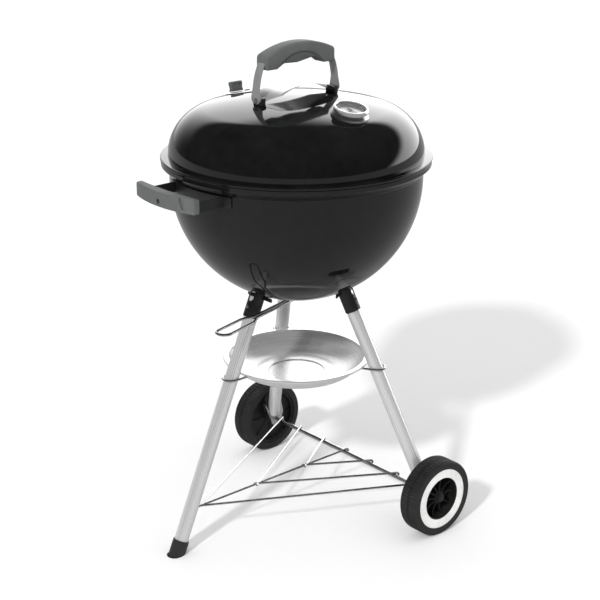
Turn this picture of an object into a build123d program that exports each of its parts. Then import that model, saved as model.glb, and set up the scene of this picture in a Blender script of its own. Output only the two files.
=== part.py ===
"""Kettle charcoal grill, 47 cm: a bowl on three splayed legs, two of them on wheels.

Millimetres, +Z up, origin on the floor under the centre of the bowl. The front leg and the side
handle lie towards -Y, the wheel axle runs along X at +Y, and the lid handle lies along Y.
"""
from build123d import *
from math import asin, atan2, cos, degrees, radians, sin, sqrt
import os

os.makedirs("parts", exist_ok=True)

# Driving dimensions
bowl_radius = 226.5            # outside of the bowl
sheet = 1.5                    # enamelled steel, with its enamel
bowl_centre_z = 661.5          # centre of the bowl's half sphere
bowl_wall_z = 674.0            # top of the upright wall above it
neck_top_z = 687.0
lip_radius = 240.8             # outside of the bowl's lip
lip_top_z = 694.8
lid_radius = 228.0             # outside of the lid's wall
lid_rim_radius = 242.0         # outside of the lid's rolled rim
lid_rim_z = 695.2              # underside of the lid's rim
lid_rim_height = 5.8
lid_apex_z = 805.0
lid_knuckle = 85.0             # radius of the lid's shoulder

leg_radius = 12.7              # 25.4 mm aluminium tube
leg_wall = 1.2
foot_reach = 288.0             # leg axis to bowl axis, at the floor
leg_slope = 0.4303             # outward run of a leg for each unit of height
leg_top = 490.0                # distance along a leg from the floor to its top end
leg_angles = {"front": -90.0, "right": 30.0, "left": 150.0}
sleeve_radius = 14.5
sleeve_length = 42.0

wheel_radius = 72.5
wheel_inner_x = 224.0
wheel_outer_x = 264.0
axle_radius = 4.0
running_gap = 0.05             # radial clearance of a shaft in its bore

wire_radius = 2.0              # rack and clip wire
pan_radius = 137.0
pan_rim_z = 316.0

lever_angle = -75.0            # where the cleaning lever points at rest
lever_z = 429.0
damper_reach = 135.0           # lid damper and thermometer, from the lid's axis
gauge_reach = 138.0

# Sizes worked out from them
bowl_inner_radius = bowl_radius - sheet
bowl_bottom_z = bowl_centre_z - bowl_radius
leg_tilt = degrees(atan2(leg_slope, 1.0))
axle_z = wheel_radius
axle_reach = foot_reach - leg_slope * axle_z
axle_y = axle_reach * sin(radians(30.0))
axle_x = axle_reach * cos(radians(30.0))
lid_wall_z = lid_rim_z + lid_rim_height + 1.0
lid_rise = lid_apex_z - lid_wall_z
crown_radius = (lid_radius**2 + lid_rise**2 - 2 * lid_radius * lid_knuckle) / (
    2 * (lid_rise - lid_knuckle))
crown_centre_z = lid_apex_z - crown_radius


def unit(angle):
    """Horizontal unit vector at an angle from +X."""
    return Vector(cos(radians(angle)), sin(radians(angle)), 0)


def leg_plane(angle, along):
    """Plane across a leg, `along` mm up its axis; its -Y looks away from the bowl."""
    outward = unit(angle)
    up = Vector(0, 0, cos(radians(leg_tilt))) - outward * sin(radians(leg_tilt))
    foot = outward * foot_reach
    return Plane(origin=foot + up * along, x_dir=unit(angle + 90), z_dir=up)


def dome_plane(reach, angle, lift=0.0):
    """Plane that lies on the lid's crown `reach` mm from its axis; its X looks outward."""
    tilt = asin(reach / crown_radius)
    normal = unit(angle) * sin(tilt) + Vector(0, 0, cos(tilt))
    centre = Vector(0, 0, crown_centre_z)
    outward = unit(angle) * cos(tilt) - Vector(0, 0, sin(tilt))
    return Plane(origin=centre + normal * (crown_radius + lift), x_dir=outward, z_dir=normal)


def rod(start, end, radius):
    """Round bar between two points, added to the part being built."""
    start, end = Vector(start), Vector(end)
    with BuildSketch(Plane(origin=start, z_dir=end - start)) as section:
        Circle(radius)
    extrude(section.sketch, amount=(end - start).length)


def ring(inner, outer, low, high, plane=Plane.XY, mode=Mode.ADD):
    """Flat ring or, with no inner radius, a disc, standing on a plane."""
    with BuildSketch(plane.offset(low)) as section:
        Circle(outer)
        if inner > 0:
            Circle(inner, mode=Mode.SUBTRACT)
    extrude(section.sketch, amount=high - low, mode=mode)


def circles(builder, radius):
    """Round edges of a part that have a given radius."""
    return builder.edges().filter_by(
        lambda edge: edge.geom_type == GeomType.CIRCLE and abs(edge.radius - radius) < 0.01)


def save(part, node):
    """Label a piece and write it as its own STEP file."""
    part.label = node
    export_step(part, f"parts/{node}.step")


# Bowl: half sphere, upright wall, slanted neck and lip, with three ash slots and a spindle hole
spindle_radius = 6.0
slot_reach = 58.0
slot_length = 52.0
slot_width = 20.0

with BuildPart() as bowl:
    with BuildSketch(Plane.XZ):
        with BuildLine():
            CenterArc((0, bowl_centre_z), bowl_radius, -90, 90)
            Polyline((bowl_radius, bowl_centre_z), (bowl_radius, bowl_wall_z),
                     (lip_radius, neck_top_z), (lip_radius, lip_top_z),
                     (lip_radius - sheet, lip_top_z), (lip_radius - sheet, neck_top_z + 0.6),
                     (bowl_inner_radius, bowl_wall_z + 0.6), (bowl_inner_radius, bowl_centre_z))
            CenterArc((0, bowl_centre_z), bowl_inner_radius, 0, -90)
            Line((0, bowl_centre_z - bowl_inner_radius), (0, bowl_bottom_z))
        make_face()
    revolve(axis=Axis.Z)
    with BuildSketch(Plane.XY.offset(bowl_bottom_z - 5)):
        Circle(spindle_radius + running_gap)
        with PolarLocations(slot_reach, 3, start_angle=lever_angle):
            SlotOverall(slot_length, slot_width)
    extrude(amount=30, mode=Mode.SUBTRACT)
save(bowl.part, "bowl")

# Welded rests inside the bowl: four high ones for the cooking grate, four low for the charcoal
cooking_grate_z = 655.0
cooking_grate_radius = 221.0
charcoal_grate_z = 530.0
charcoal_grate_radius = 168.0
rest_width = 22.0
rest_sheet = 3.0
weld_gap = 0.02                # left between faces that are welded together


def bowl_inner_reach(z):
    """Inside radius of the bowl at a height."""
    return sqrt(bowl_inner_radius**2 - (z - bowl_centre_z)**2)


with BuildPart() as grate_rests:
    for rest_z, grate_reach in ((cooking_grate_z, cooking_grate_radius),
                                (charcoal_grate_z, charcoal_grate_radius)):
        wall_reach = bowl_inner_reach(rest_z - 8)
        for angle in (45, 135, 225, 315):
            tab = Plane(origin=unit(angle) * (grate_reach - 8) + Vector(0, 0, rest_z - 3.2),
                        x_dir=unit(angle), z_dir=(0, 0, 1))
            with BuildSketch(tab):
                Rectangle(wall_reach - grate_reach + 14, rest_width, align=(Align.MIN, Align.CENTER))
            extrude(amount=rest_sheet)
    with BuildSketch(Plane.XZ):
        with BuildLine():
            CenterArc((0, bowl_centre_z), bowl_inner_radius - weld_gap, -90, 90)
            Line((bowl_inner_radius - weld_gap, bowl_centre_z), (0, bowl_centre_z))
            Line((0, bowl_centre_z), (0, bowl_centre_z - bowl_inner_radius + weld_gap))
        make_face()
    revolve(axis=Axis.Z, mode=Mode.INTERSECT)
save(grate_rests.part, "grate_rests")

# Leg sockets: a sleeve that closes on the bowl, with a cross bar welded behind its top
button_along = 470.0
button_radius = 3.0
peep_along = 487.0
peep_radius = 6.5
cross_bar_reach = 86.0
cross_bar_z = 449.5

for name, angle in leg_angles.items():
    with BuildPart() as socket:
        with BuildSketch(leg_plane(angle, leg_top + 4 - sleeve_length)):
            Circle(sleeve_radius)
        extrude(amount=sleeve_length + 16)
        cross_bar = Plane(origin=unit(angle) * cross_bar_reach + Vector(0, 0, cross_bar_z),
                          x_dir=unit(angle + 90), z_dir=unit(angle))
        with BuildSketch(cross_bar):
            RectangleRounded(66, 7, 2)
        extrude(amount=2)
        with BuildSketch(leg_plane(angle, 400)):
            Circle(leg_radius + running_gap)
        extrude(amount=leg_top + 0.5 - 400, mode=Mode.SUBTRACT)
        with Locations((0, 0, bowl_centre_z)):
            Sphere(bowl_radius + weld_gap, mode=Mode.SUBTRACT)
        side = leg_plane(angle, peep_along)
        with BuildSketch(Plane(origin=side.origin, x_dir=side.x_dir, z_dir=-side.y_dir)):
            Circle(peep_radius)
        extrude(amount=20, mode=Mode.SUBTRACT)
        pin = leg_plane(angle, button_along)
        with BuildSketch(Plane(origin=pin.origin, x_dir=pin.x_dir, z_dir=-pin.y_dir)):
            Circle(button_radius + 0.1)
        extrude(amount=20, mode=Mode.SUBTRACT)
    save(socket.part, f"leg_socket_{name}")

# Leg tubes, with the button's hole at the top and, in front, the rack's hole at the bottom
rack_z = axle_z + axle_radius + wire_radius
foot_tube_along = 6.0
wheel_tube_along = 88.0 / cos(radians(leg_tilt))

for name, angle in leg_angles.items():
    low = foot_tube_along if name == "front" else wheel_tube_along
    with BuildPart() as leg:
        ring(leg_radius - leg_wall, leg_radius, low, leg_top, leg_plane(angle, 0))
        pin = leg_plane(angle, button_along)
        with BuildSketch(Plane(origin=pin.origin, x_dir=pin.x_dir, z_dir=-pin.y_dir)):
            Circle(button_radius + 0.1)
        extrude(amount=20, mode=Mode.SUBTRACT)
        if name == "front":
            inside = Plane(origin=(0, -foot_reach + leg_slope * rack_z, rack_z), x_dir=(1, 0, 0),
                           z_dir=(0, 1, 0))
            with BuildSketch(inside):
                Circle(wire_radius + 0.1)
            extrude(amount=25, mode=Mode.SUBTRACT)
    save(leg.part, f"leg_{name}")

# Spring buttons that lock the legs in their sockets
for name, angle in leg_angles.items():
    with BuildPart() as button:
        pin = leg_plane(angle, button_along)
        outward = Plane(origin=pin.origin, x_dir=pin.x_dir, z_dir=-pin.y_dir)
        ring(0, button_radius, 9.0, sleeve_radius + 2.2, outward)
        ring(0, button_radius + 1.2, 9.0, 10.2, outward)
        fillet(button.faces().sort_by(Axis(outward.origin, outward.z_dir))[-1].edges(), 1.2)
    save(button.part, f"leg_button_{name}")

# Foot cap: a blunt plastic cup over the end of the front leg, cut flat where it stands
front_foot = leg_plane(leg_angles["front"], 0)

with BuildPart() as foot_cap:
    ring(0, leg_radius + 2.2, -12, 27, front_foot)
    fillet(foot_cap.faces().sort_by(Axis(front_foot.origin, front_foot.z_dir))[-1].edges(), 1.0)
    ring(0, leg_radius + weld_gap, foot_tube_along, 40, front_foot, Mode.SUBTRACT)
    split(bisect_by=Plane.XY, keep=Keep.TOP)
save(foot_cap.part, "foot_cap")

# Axle, its end caps, and the brackets and hoods that hang it from the two wheel legs
bracket_inner_x = axle_x - 10.0
bracket_outer_x = axle_x - 2.0
hood_outer_x = wheel_inner_x - 0.6

with BuildPart() as axle:
    with BuildSketch(Plane(origin=(-258, axle_y, axle_z), x_dir=(0, 1, 0), z_dir=(1, 0, 0))):
        Circle(axle_radius)
    extrude(amount=516)
save(axle.part, "axle")

for name, side in (("left", -1), ("right", 1)):
    leg_axis = leg_plane(leg_angles[name], 0)
    axle_end = Plane(origin=(0, axle_y, axle_z), x_dir=(0, side, 0), z_dir=(side, 0, 0))

    with BuildPart() as bracket:
        with BuildSketch(axle_end.offset(bracket_inner_x)):
            Circle(14)
            with BuildLine():
                Polyline((-14 * side, 0), (-21 * side, 14), (-30 * side, 40), (-15 * side, 16),
                         (-3 * side, 10), (6 * side, 18), (13 * side, 36), (18 * side, 14),
                         (14 * side, 0), close=True)
            make_face()
        extrude(amount=bracket_outer_x - bracket_inner_x)
        ring(0, leg_radius + weld_gap, wheel_tube_along, 200, leg_axis, Mode.SUBTRACT)
        ring(0, leg_radius - leg_wall - weld_gap, wheel_tube_along - 6, wheel_tube_along + 22, leg_axis)
        ring(0, axle_radius + weld_gap, 150, 240, axle_end, Mode.SUBTRACT)
    save(bracket.part, f"axle_bracket_{name}")

    with BuildPart() as hood:
        with BuildSketch(axle_end.offset(bracket_outer_x + 0.1)):
            Circle(12)
            with BuildLine():
                Polyline((-12 * side, 0), (-22 * side, 45), (0, 45), (12 * side, 0), close=True)
            make_face()
            with Locations((-11 * side, 45)):
                Circle(11)
        extrude(amount=hood_outer_x - bracket_outer_x - 0.1)
        ring(0, leg_radius + 0.1, 60, 300, leg_axis, Mode.SUBTRACT)
        ring(0, axle_radius + weld_gap, 150, 240, axle_end, Mode.SUBTRACT)
    save(hood.part, f"axle_hood_{name}")

    with BuildPart() as axle_cap:
        ring(0, 8.0, 256.4, 262.0, axle_end)
        fillet(axle_cap.faces().sort_by(Axis.X)[-1 if side > 0 else 0].edges(), 2.5)
        ring(0, axle_radius + 0.01, 250, 258.2, axle_end, Mode.SUBTRACT)
    save(axle_cap.part, f"axle_cap_{name}")

# Wheels: a spoked hub with a deep dish outside, a tyre and a pale band on its outer face
web_inner_x = 235.0
web_outer_x = 238.0
face_x = 262.0
dish_radius = 41.0
tyre_inner_radius = 58.0
middle_x = (wheel_inner_x + wheel_outer_x) / 2

for name, side in (("left", -1), ("right", 1)):
    wheel_plane = Plane(origin=(0, axle_y, axle_z), x_dir=(0, 1, 0), z_dir=(side, 0, 0))

    with BuildPart() as wheel_hub:
        ring(52, tyre_inner_radius, wheel_inner_x + 2, face_x, wheel_plane)
        ring(8, 55, web_inner_x, web_outer_x, wheel_plane)
        ring(dish_radius - 2.5, dish_radius, web_inner_x, face_x, wheel_plane)
        ring(dish_radius - 1, 55, face_x - 4, face_x, wheel_plane)
        ring(0, 12, web_inner_x - 3, 256, wheel_plane)
        with BuildSketch(wheel_plane.offset(web_outer_x - 0.5)):
            with PolarLocations(25, 10):
                Rectangle(29, 2)
        extrude(amount=12.5)
        with BuildSketch(wheel_plane.offset(web_inner_x - 2)):
            with PolarLocations(32, 8):
                Rectangle(42, 2)
        extrude(amount=2.5)
        ring(0, axle_radius + running_gap, 200, 270, wheel_plane, Mode.SUBTRACT)
    save(wheel_hub.part, f"wheel_hub_{name}")

    with BuildPart() as tyre:
        ring(tyre_inner_radius, wheel_radius, wheel_inner_x, wheel_outer_x, wheel_plane)
        fillet(circles(tyre, wheel_radius), 4)
        ring(wheel_radius - 1.5, wheel_radius + 1, middle_x - 1.5, middle_x + 1.5, wheel_plane,
             Mode.SUBTRACT)
    save(tyre.part, f"tyre_{name}")

    with BuildPart() as band:
        ring(dish_radius, tyre_inner_radius, face_x, face_x + 1.2, wheel_plane)
    save(band.part, f"wheel_band_{name}")

# Bottom rack: a centre wire and three nested vees, hooked over the axle and into the front leg
vee_apexes = ((-232.0, 200.0), (-96.0, 142.0), (24.0, 70.0))
hook_y = axle_y + axle_radius + wire_radius + 0.5
leg_inner_y = -foot_reach + leg_slope * rack_z + leg_radius / cos(radians(leg_tilt))

with BuildPart() as bottom_rack:
    rod((0, leg_inner_y - 5, rack_z), (0, hook_y, rack_z), wire_radius)
    for apex_y, half_width in vee_apexes:
        for side in (-1, 1):
            tail = Vector(0, apex_y, rack_z)
            end = Vector(side * half_width, hook_y, rack_z)
            rod(tail - (end - tail).normalized() * (8 if apex_y > -200 else 0), end, wire_radius)
    for x in (0, -200, 200, -142, 142, -70, 70):
        rod((x, hook_y, rack_z + wire_radius), (x, hook_y, rack_z - 10), wire_radius)
save(bottom_rack.part, "bottom_rack")

# Ash pan: a shallow dish with a rolled rim, held by a wire clip on each leg
pan_depth = 35.0
pan_sheet = 1.2
floor_z = pan_rim_z - pan_depth

with BuildPart() as ash_pan:
    with BuildSketch(Plane.XZ):
        with BuildLine():
            Polyline((0, floor_z), (53, floor_z), (53, floor_z + 2), (70, floor_z + 2))
            ThreePointArc((70, floor_z + 2), (110, floor_z + 12), (127, pan_rim_z - 4))
            Polyline((127, pan_rim_z - 4), (pan_radius, pan_rim_z - 4), (pan_radius, pan_rim_z),
                     (126, pan_rim_z), (125.8, pan_rim_z - 4 + pan_sheet))
            ThreePointArc((125.8, pan_rim_z - 4 + pan_sheet), (109.4, floor_z + 12 + pan_sheet),
                          (70, floor_z + 2 + pan_sheet))
            Polyline((70, floor_z + 2 + pan_sheet), (53 - pan_sheet, floor_z + 2 + pan_sheet),
                     (53 - pan_sheet, floor_z + pan_sheet), (0, floor_z + pan_sheet), (0, floor_z))
        make_face()
    revolve(axis=Axis.Z)
    fillet(circles(ash_pan, pan_radius), 1.6)
save(ash_pan.part, "ash_pan")

clip_z = pan_rim_z - 4 - wire_radius - 0.05
clip_reach = foot_reach - leg_slope * clip_z
clip_half = leg_radius + wire_radius + 0.3

for name, angle in leg_angles.items():
    with BuildPart() as pan_clip:
        across = Plane(origin=unit(angle) * clip_reach + Vector(0, 0, clip_z), x_dir=unit(angle),
                       z_dir=(0, 0, 1))
        with BuildLine(across) as clip_path:
            Line((-25, -clip_half), (2, -clip_half))
            ThreePointArc((2, -clip_half), (2 + clip_half, 0), (2, clip_half))
            Line((2, clip_half), (-25, clip_half))
        with BuildSketch(Plane(origin=clip_path.wires()[0] @ 0, z_dir=clip_path.wires()[0] % 0)):
            Circle(wire_radius)
        sweep(path=clip_path.wires()[0])
    save(pan_clip.part, f"pan_clip_{name}")

# One-lever cleaning system: blades in the bowl, a spindle through it and a wire lever below
blade_gap = 0.5
blade_sheet = 1.2
blade_reach = 100.0
hub_radius = 13.0
blade_outer = bowl_inner_radius - blade_gap
blade_inner = blade_outer - blade_sheet
seat_z = bowl_bottom_z + sheet  # inside of the bowl's bottom
blade_top_z = seat_z + 3.0
blade_edge = -50.0             # where the blades end, as an angle round the bowl's centre

with BuildPart() as sweeper_blades:
    with BuildSketch(Plane.XZ):
        with BuildLine():
            CenterArc((0, bowl_centre_z), blade_outer, -90, 90 + blade_edge)
            CenterArc((0, bowl_centre_z), blade_inner, -90, 90 + blade_edge)
            Line((0, bowl_centre_z - blade_outer), (0, bowl_centre_z - blade_inner))
            Line((blade_outer * cos(radians(blade_edge)),
                  bowl_centre_z + blade_outer * sin(radians(blade_edge))),
                 (blade_inner * cos(radians(blade_edge)),
                  bowl_centre_z + blade_inner * sin(radians(blade_edge))))
        make_face()
    revolve(axis=Axis.Z)
    with BuildSketch(Plane.XY.offset(bowl_bottom_z - 5)):
        with PolarLocations(blade_reach / 2, 3, start_angle=lever_angle):
            SlotOverall(blade_reach + 12, 30)
    extrude(amount=120, mode=Mode.INTERSECT)
    ring(0, hub_radius, seat_z + 0.8, blade_top_z)
    ring(0, spindle_radius - 1 + weld_gap, seat_z - 20, seat_z + 20, mode=Mode.SUBTRACT)
save(sweeper_blades.part, "sweeper_blades")

lever_wire = 2.5
lever_plane = Plane(origin=(0, 0, lever_z), x_dir=unit(lever_angle), z_dir=(0, 0, 1))
loop_half = 14.0
loop_start = 152.0
loop_end = 235.0

with BuildPart() as cleaning_lever:
    with BuildLine(lever_plane) as lever_path:
        FilletPolyline((8, 4), (loop_start - 20, 4), (loop_start, loop_half), (loop_end, loop_half),
                       (loop_end, -loop_half), (loop_start, -loop_half), (loop_start - 20, -4),
                       (8, -4), radius=(30, 30, loop_half - 0.1, loop_half - 0.1, 30, 30))
    with BuildSketch(Plane(origin=lever_plane.from_local_coords(Vector(8, 4, 0)),
                           z_dir=unit(lever_angle))):
        Circle(lever_wire)
    sweep(path=lever_path.wires()[0])
save(cleaning_lever.part, "cleaning_lever")

with BuildPart() as sweeper_spindle:
    ring(0, hub_radius, lever_z - lever_wire - 1.5, bowl_bottom_z - 0.6)
    ring(0, spindle_radius, bowl_bottom_z - 0.6, seat_z + 0.4)
    ring(0, spindle_radius - 1, seat_z + 0.4, seat_z + 11.5)
    for offset_y in (-4, 4):
        with BuildSketch(Plane(origin=lever_plane.from_local_coords(Vector(8, offset_y, 0)),
                               z_dir=unit(lever_angle))):
            Circle(lever_wire + 0.01)
        extrude(amount=20, mode=Mode.SUBTRACT)
save(sweeper_spindle.part, "sweeper_spindle")

with BuildPart() as sweeper_nut:
    with BuildSketch(Plane.XY.offset(blade_top_z)):
        RegularPolygon(9, 6)
        Circle(spindle_radius - 1 + weld_gap, mode=Mode.SUBTRACT)
    extrude(amount=6)
save(sweeper_nut.part, "sweeper_nut")


# Grates: parallel wires on two cross wires; the cooking grate has a frame and two handles
def wire_grate(radius, z, wire, pitch, count):
    """Flat round grate of `count` parallel wires along X, centred at height z."""
    with BuildSketch(Plane.YZ) as wires:
        with Locations((0, z)):
            with GridLocations(pitch, 1, count, 1):
                Circle(wire)
    extrude(wires.sketch, amount=radius, both=True)
    with BuildSketch(Plane.XZ) as cross_wires:
        with Locations((0, z - 1.5 * wire)):
            with GridLocations(0.6 * radius, 1, 2, 1):
                Circle(wire)
    extrude(cross_wires.sketch, amount=radius, both=True)
    ring(0, radius, z - 3 * wire, z + 2 * wire, mode=Mode.INTERSECT)


with BuildPart() as cooking_grate:
    wire_grate(cooking_grate_radius - 3, cooking_grate_z + 4, 2.0, 15.0, 29)
    ring(cooking_grate_radius - 6, cooking_grate_radius, cooking_grate_z + 1, cooking_grate_z + 7)
    for side in (-1, 1):
        with BuildSketch(Plane.XZ.offset(-side * (cooking_grate_radius - 5) - 2)):
            with Locations((0, cooking_grate_z + 16)):
                Rectangle(64, 26)
                Rectangle(56, 18, mode=Mode.SUBTRACT)
        extrude(amount=4)
save(cooking_grate.part, "cooking_grate")

with BuildPart() as charcoal_grate:
    wire_grate(charcoal_grate_radius, charcoal_grate_z + 6.5, 2.5, 26.0, 13)
save(charcoal_grate.part, "charcoal_grate")

# Side handle above the front leg: a strap bracket that hugs the bowl, a bowed grip and its screw
bracket_low_z = 655.0
bracket_high_z = 673.0
arm_x = 66.0
arm_sheet = 2.5
bar_y = -288.0                 # outer face of the bracket's cross bar
strap_outer = bowl_radius + arm_sheet
strap_inner = bowl_radius - 6.0
strap_angle = degrees(asin((arm_x + 16) / strap_outer))
grip_half = 81.0
grip_low_z = 657.0
grip_high_z = 683.0
grip_face_y = -303.5           # middle of the grip's bowed face
grip_face_end_y = -290.0
grip_back_y = -282.0
grip_back_end_y = -277.0
slot_gap = 0.1                 # room round the bracket inside the grip
grip_screw_z = 667.0
screw_seat = Plane(origin=(0, grip_face_y, grip_screw_z), x_dir=(1, 0, 0), z_dir=(0, 1, 0))

with BuildPart() as handle_bracket:
    with BuildSketch(Plane.XY.offset(bracket_low_z)):
        with BuildLine():
            CenterArc((0, 0), strap_outer, -90 - strap_angle, 2 * strap_angle)
            CenterArc((0, 0), strap_inner, -90 - strap_angle, 2 * strap_angle)
            for turn in (-strap_angle, strap_angle):
                Line(unit(turn - 90) * strap_outer, unit(turn - 90) * strap_inner)
        make_face()
        for x in (-arm_x, arm_x):
            with Locations((x, (20 - bowl_radius + bar_y) / 2)):
                Rectangle(arm_sheet, 20 - bowl_radius - bar_y)
        with Locations((0, bar_y + arm_sheet / 2)):
            Rectangle(2 * arm_x + arm_sheet, arm_sheet)
    extrude(amount=bracket_high_z - bracket_low_z)
    with Locations((0, 0, bowl_centre_z)):
        Sphere(bowl_radius + weld_gap, mode=Mode.SUBTRACT)
    ring(0, bowl_radius + weld_gap, bowl_centre_z, bracket_high_z + 5, mode=Mode.SUBTRACT)
save(handle_bracket.part, "handle_bracket")

with BuildPart() as side_grip:
    with BuildSketch(Plane.XY.offset(grip_low_z)):
        with BuildLine():
            ThreePointArc((-grip_half, grip_face_end_y), (0, grip_face_y), (grip_half, grip_face_end_y))
            Line((grip_half, grip_face_end_y), (grip_half, grip_back_end_y))
            ThreePointArc((grip_half, grip_back_end_y), (0, grip_back_y), (-grip_half, grip_back_end_y))
            Line((-grip_half, grip_back_end_y), (-grip_half, grip_face_end_y))
        make_face()
    extrude(amount=grip_high_z - grip_low_z)
    fillet(side_grip.edges().filter_by(Axis.Z), 4)
    fillet(side_grip.faces().sort_by(Axis.Z)[-1].edges(), 3)
    fillet(side_grip.faces().sort_by(Axis.Z)[0].edges(), 3)
    with Locations((0, bar_y + arm_sheet / 2, (bracket_low_z + bracket_high_z) / 2)):
        Box(2 * arm_x + arm_sheet + 2 * slot_gap, arm_sheet + 2 * slot_gap,
            bracket_high_z - bracket_low_z + 2 * slot_gap, mode=Mode.SUBTRACT)
    for x in (-arm_x, arm_x):
        with Locations((x, bar_y + 20, (bracket_low_z + bracket_high_z) / 2)):
            Box(arm_sheet + 2 * slot_gap, 40, bracket_high_z - bracket_low_z + 2 * slot_gap,
                mode=Mode.SUBTRACT)
    ring(0, 4.6, -1, 8, screw_seat, Mode.SUBTRACT)
    ring(0, 2.6, -1, 16, screw_seat, Mode.SUBTRACT)
save(side_grip.part, "side_grip")

with BuildPart() as side_grip_screw:
    ring(0, 4.4, 4.5, 7.9, screw_seat)
    ring(0, 2.4, 7.9, 12.8, screw_seat)
save(side_grip_screw.part, "side_grip_screw")

# Lid: crown, shoulder and upright wall in one sheet, standing on a rolled rim
vent_reach = 24.0
vent_radius = 8.0
rivet_radius = 3.0
stem_radius = 4.0
ledge_z = lid_rim_z + lid_rim_height
damper_plane = dome_plane(damper_reach, 180)
gauge_plane = dome_plane(gauge_reach, 0)


def dome_outline(inset):
    """Crown and shoulder arcs of the lid in its XZ section, moved inward by `inset`."""
    shoulder_reach = lid_radius - lid_knuckle
    meet = degrees(atan2(lid_wall_z - crown_centre_z, shoulder_reach))
    CenterArc((0, crown_centre_z), crown_radius - inset, meet, 90 - meet)
    CenterArc((shoulder_reach, lid_wall_z), lid_knuckle - inset, 0, meet)


with BuildPart() as lid:
    with BuildSketch(Plane.XZ):
        with BuildLine():
            dome_outline(0)
            dome_outline(sheet)
            Line((0, lid_apex_z), (0, lid_apex_z - sheet))
            Polyline((lid_radius, lid_wall_z), (lid_radius, ledge_z), (lid_rim_radius, ledge_z),
                     (lid_rim_radius, lid_rim_z), (lid_radius - sheet, lid_rim_z),
                     (lid_radius - sheet, lid_wall_z))
        make_face()
    revolve(axis=Axis.Z)
    fillet(circles(lid, lid_rim_radius), 2.2)
    with BuildSketch(damper_plane.offset(-12)):
        Circle(rivet_radius + running_gap)
        with PolarLocations(vent_reach, 4, start_angle=45):
            Circle(vent_radius)
    extrude(amount=24, mode=Mode.SUBTRACT)
    with BuildSketch(gauge_plane.offset(-12)):
        Circle(stem_radius + weld_gap)
    extrude(amount=24, mode=Mode.SUBTRACT)
save(lid.part, "lid")

# Lid damper: a domed disc on a rivet, with a moulded knob at its outer edge
damper_radius = 41.0
damper_sheet = 1.6
low_arc = crown_radius + 0.4
high_arc = low_arc + damper_sheet
low_edge = -crown_radius + sqrt(low_arc**2 - damper_radius**2)
high_edge = -crown_radius + sqrt(high_arc**2 - damper_radius**2)
low_mid = -crown_radius + sqrt(low_arc**2 - (damper_radius / 2)**2)
high_mid = -crown_radius + sqrt(high_arc**2 - (damper_radius / 2)**2)

with BuildPart() as lid_damper:
    with BuildSketch(Plane(origin=damper_plane.origin, x_dir=damper_plane.x_dir,
                           z_dir=damper_plane.y_dir * -1)):
        with BuildLine():
            ThreePointArc((0, 0.4), (damper_radius / 2, low_mid), (damper_radius, low_edge))
            Line((damper_radius, low_edge), (damper_radius, high_edge))
            ThreePointArc((damper_radius, high_edge), (damper_radius / 2, high_mid),
                          (0, 0.4 + damper_sheet))
            Line((0, 0.4 + damper_sheet), (0, 0.4))
        make_face()
    revolve(axis=Axis(damper_plane.origin, damper_plane.z_dir))
    with BuildSketch(damper_plane.offset(-4)):
        Circle(rivet_radius + running_gap)
        with PolarLocations(vent_reach, 4):
            Circle(vent_radius)
        with Locations((33, 0)):
            Circle(1.6)
    extrude(amount=12, mode=Mode.SUBTRACT)
save(lid_damper.part, "lid_damper")

with BuildPart() as damper_knob:
    with BuildSketch(damper_plane.offset(2.05)):
        with Locations((34, 0)):
            RectangleRounded(12, 28, 4)
    extrude(amount=18)
    fillet(damper_knob.faces().sort_by(Axis(damper_plane.origin, damper_plane.z_dir))[-1].edges(), 3)
    with BuildSketch(damper_plane.offset(-0.2)):
        with Locations((33, 0)):
            Circle(1.5)
    extrude(amount=4)
save(damper_knob.part, "damper_knob")

with BuildPart() as damper_rivet:
    ring(0, rivet_radius, -2.6, 3, damper_plane)
    ring(0, 6, 2.3, 3.8, damper_plane)
    ring(0, 5, -3.6, -1.8, damper_plane)
save(damper_rivet.part, "damper_rivet")

# Thermometer: steel case on the lid, bezel, dial, glass and pointer, with a probe below
case_base = 33.0
case_top = 29.5
case_height = 13.0
seat_arc = crown_radius + 0.05

with BuildPart() as gauge_case:
    with BuildSketch(Plane(origin=gauge_plane.origin, x_dir=gauge_plane.x_dir,
                           z_dir=gauge_plane.y_dir * -1)):
        with BuildLine():
            seat = [(reach, -crown_radius + sqrt(seat_arc**2 - reach**2))
                    for reach in (stem_radius + weld_gap, case_base / 2, case_base)]
            ThreePointArc(*seat)
            Polyline(seat[2], (case_top, case_height), (case_top - 2, case_height),
                     (case_top - 2, 3), (stem_radius + weld_gap, 3), seat[0])
        make_face()
    revolve(axis=Axis(gauge_plane.origin, gauge_plane.z_dir))
save(gauge_case.part, "thermometer_case")

with BuildPart() as gauge_bezel:
    ring(case_top - 3.5, case_top + 1.5, case_height, case_height + 3, gauge_plane)
    fillet(circles(gauge_bezel, case_top + 1.5), 1.2)
save(gauge_bezel.part, "thermometer_bezel")

with BuildPart() as gauge_dial:
    ring(1.6, case_top - 2.1, 8.5, 9.5, gauge_plane)
save(gauge_dial.part, "thermometer_dial")

with BuildPart() as gauge_glass:
    ring(0, case_top - 3.6, case_height + 0.6, case_height + 2.2, gauge_plane)
save(gauge_glass.part, "thermometer_glass")

with BuildPart() as gauge_stem:
    ring(0, stem_radius, -62, 3.0, gauge_plane)
    ring(0, 9, 3.0, 6.5, gauge_plane)
save(gauge_stem.part, "thermometer_stem")

with BuildPart() as gauge_nut:
    with BuildSketch(gauge_plane.offset(-7.5)):
        RegularPolygon(8.5, 6)
        Circle(stem_radius + weld_gap, mode=Mode.SUBTRACT)
    extrude(amount=5.6)
save(gauge_nut.part, "thermometer_nut")

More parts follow.
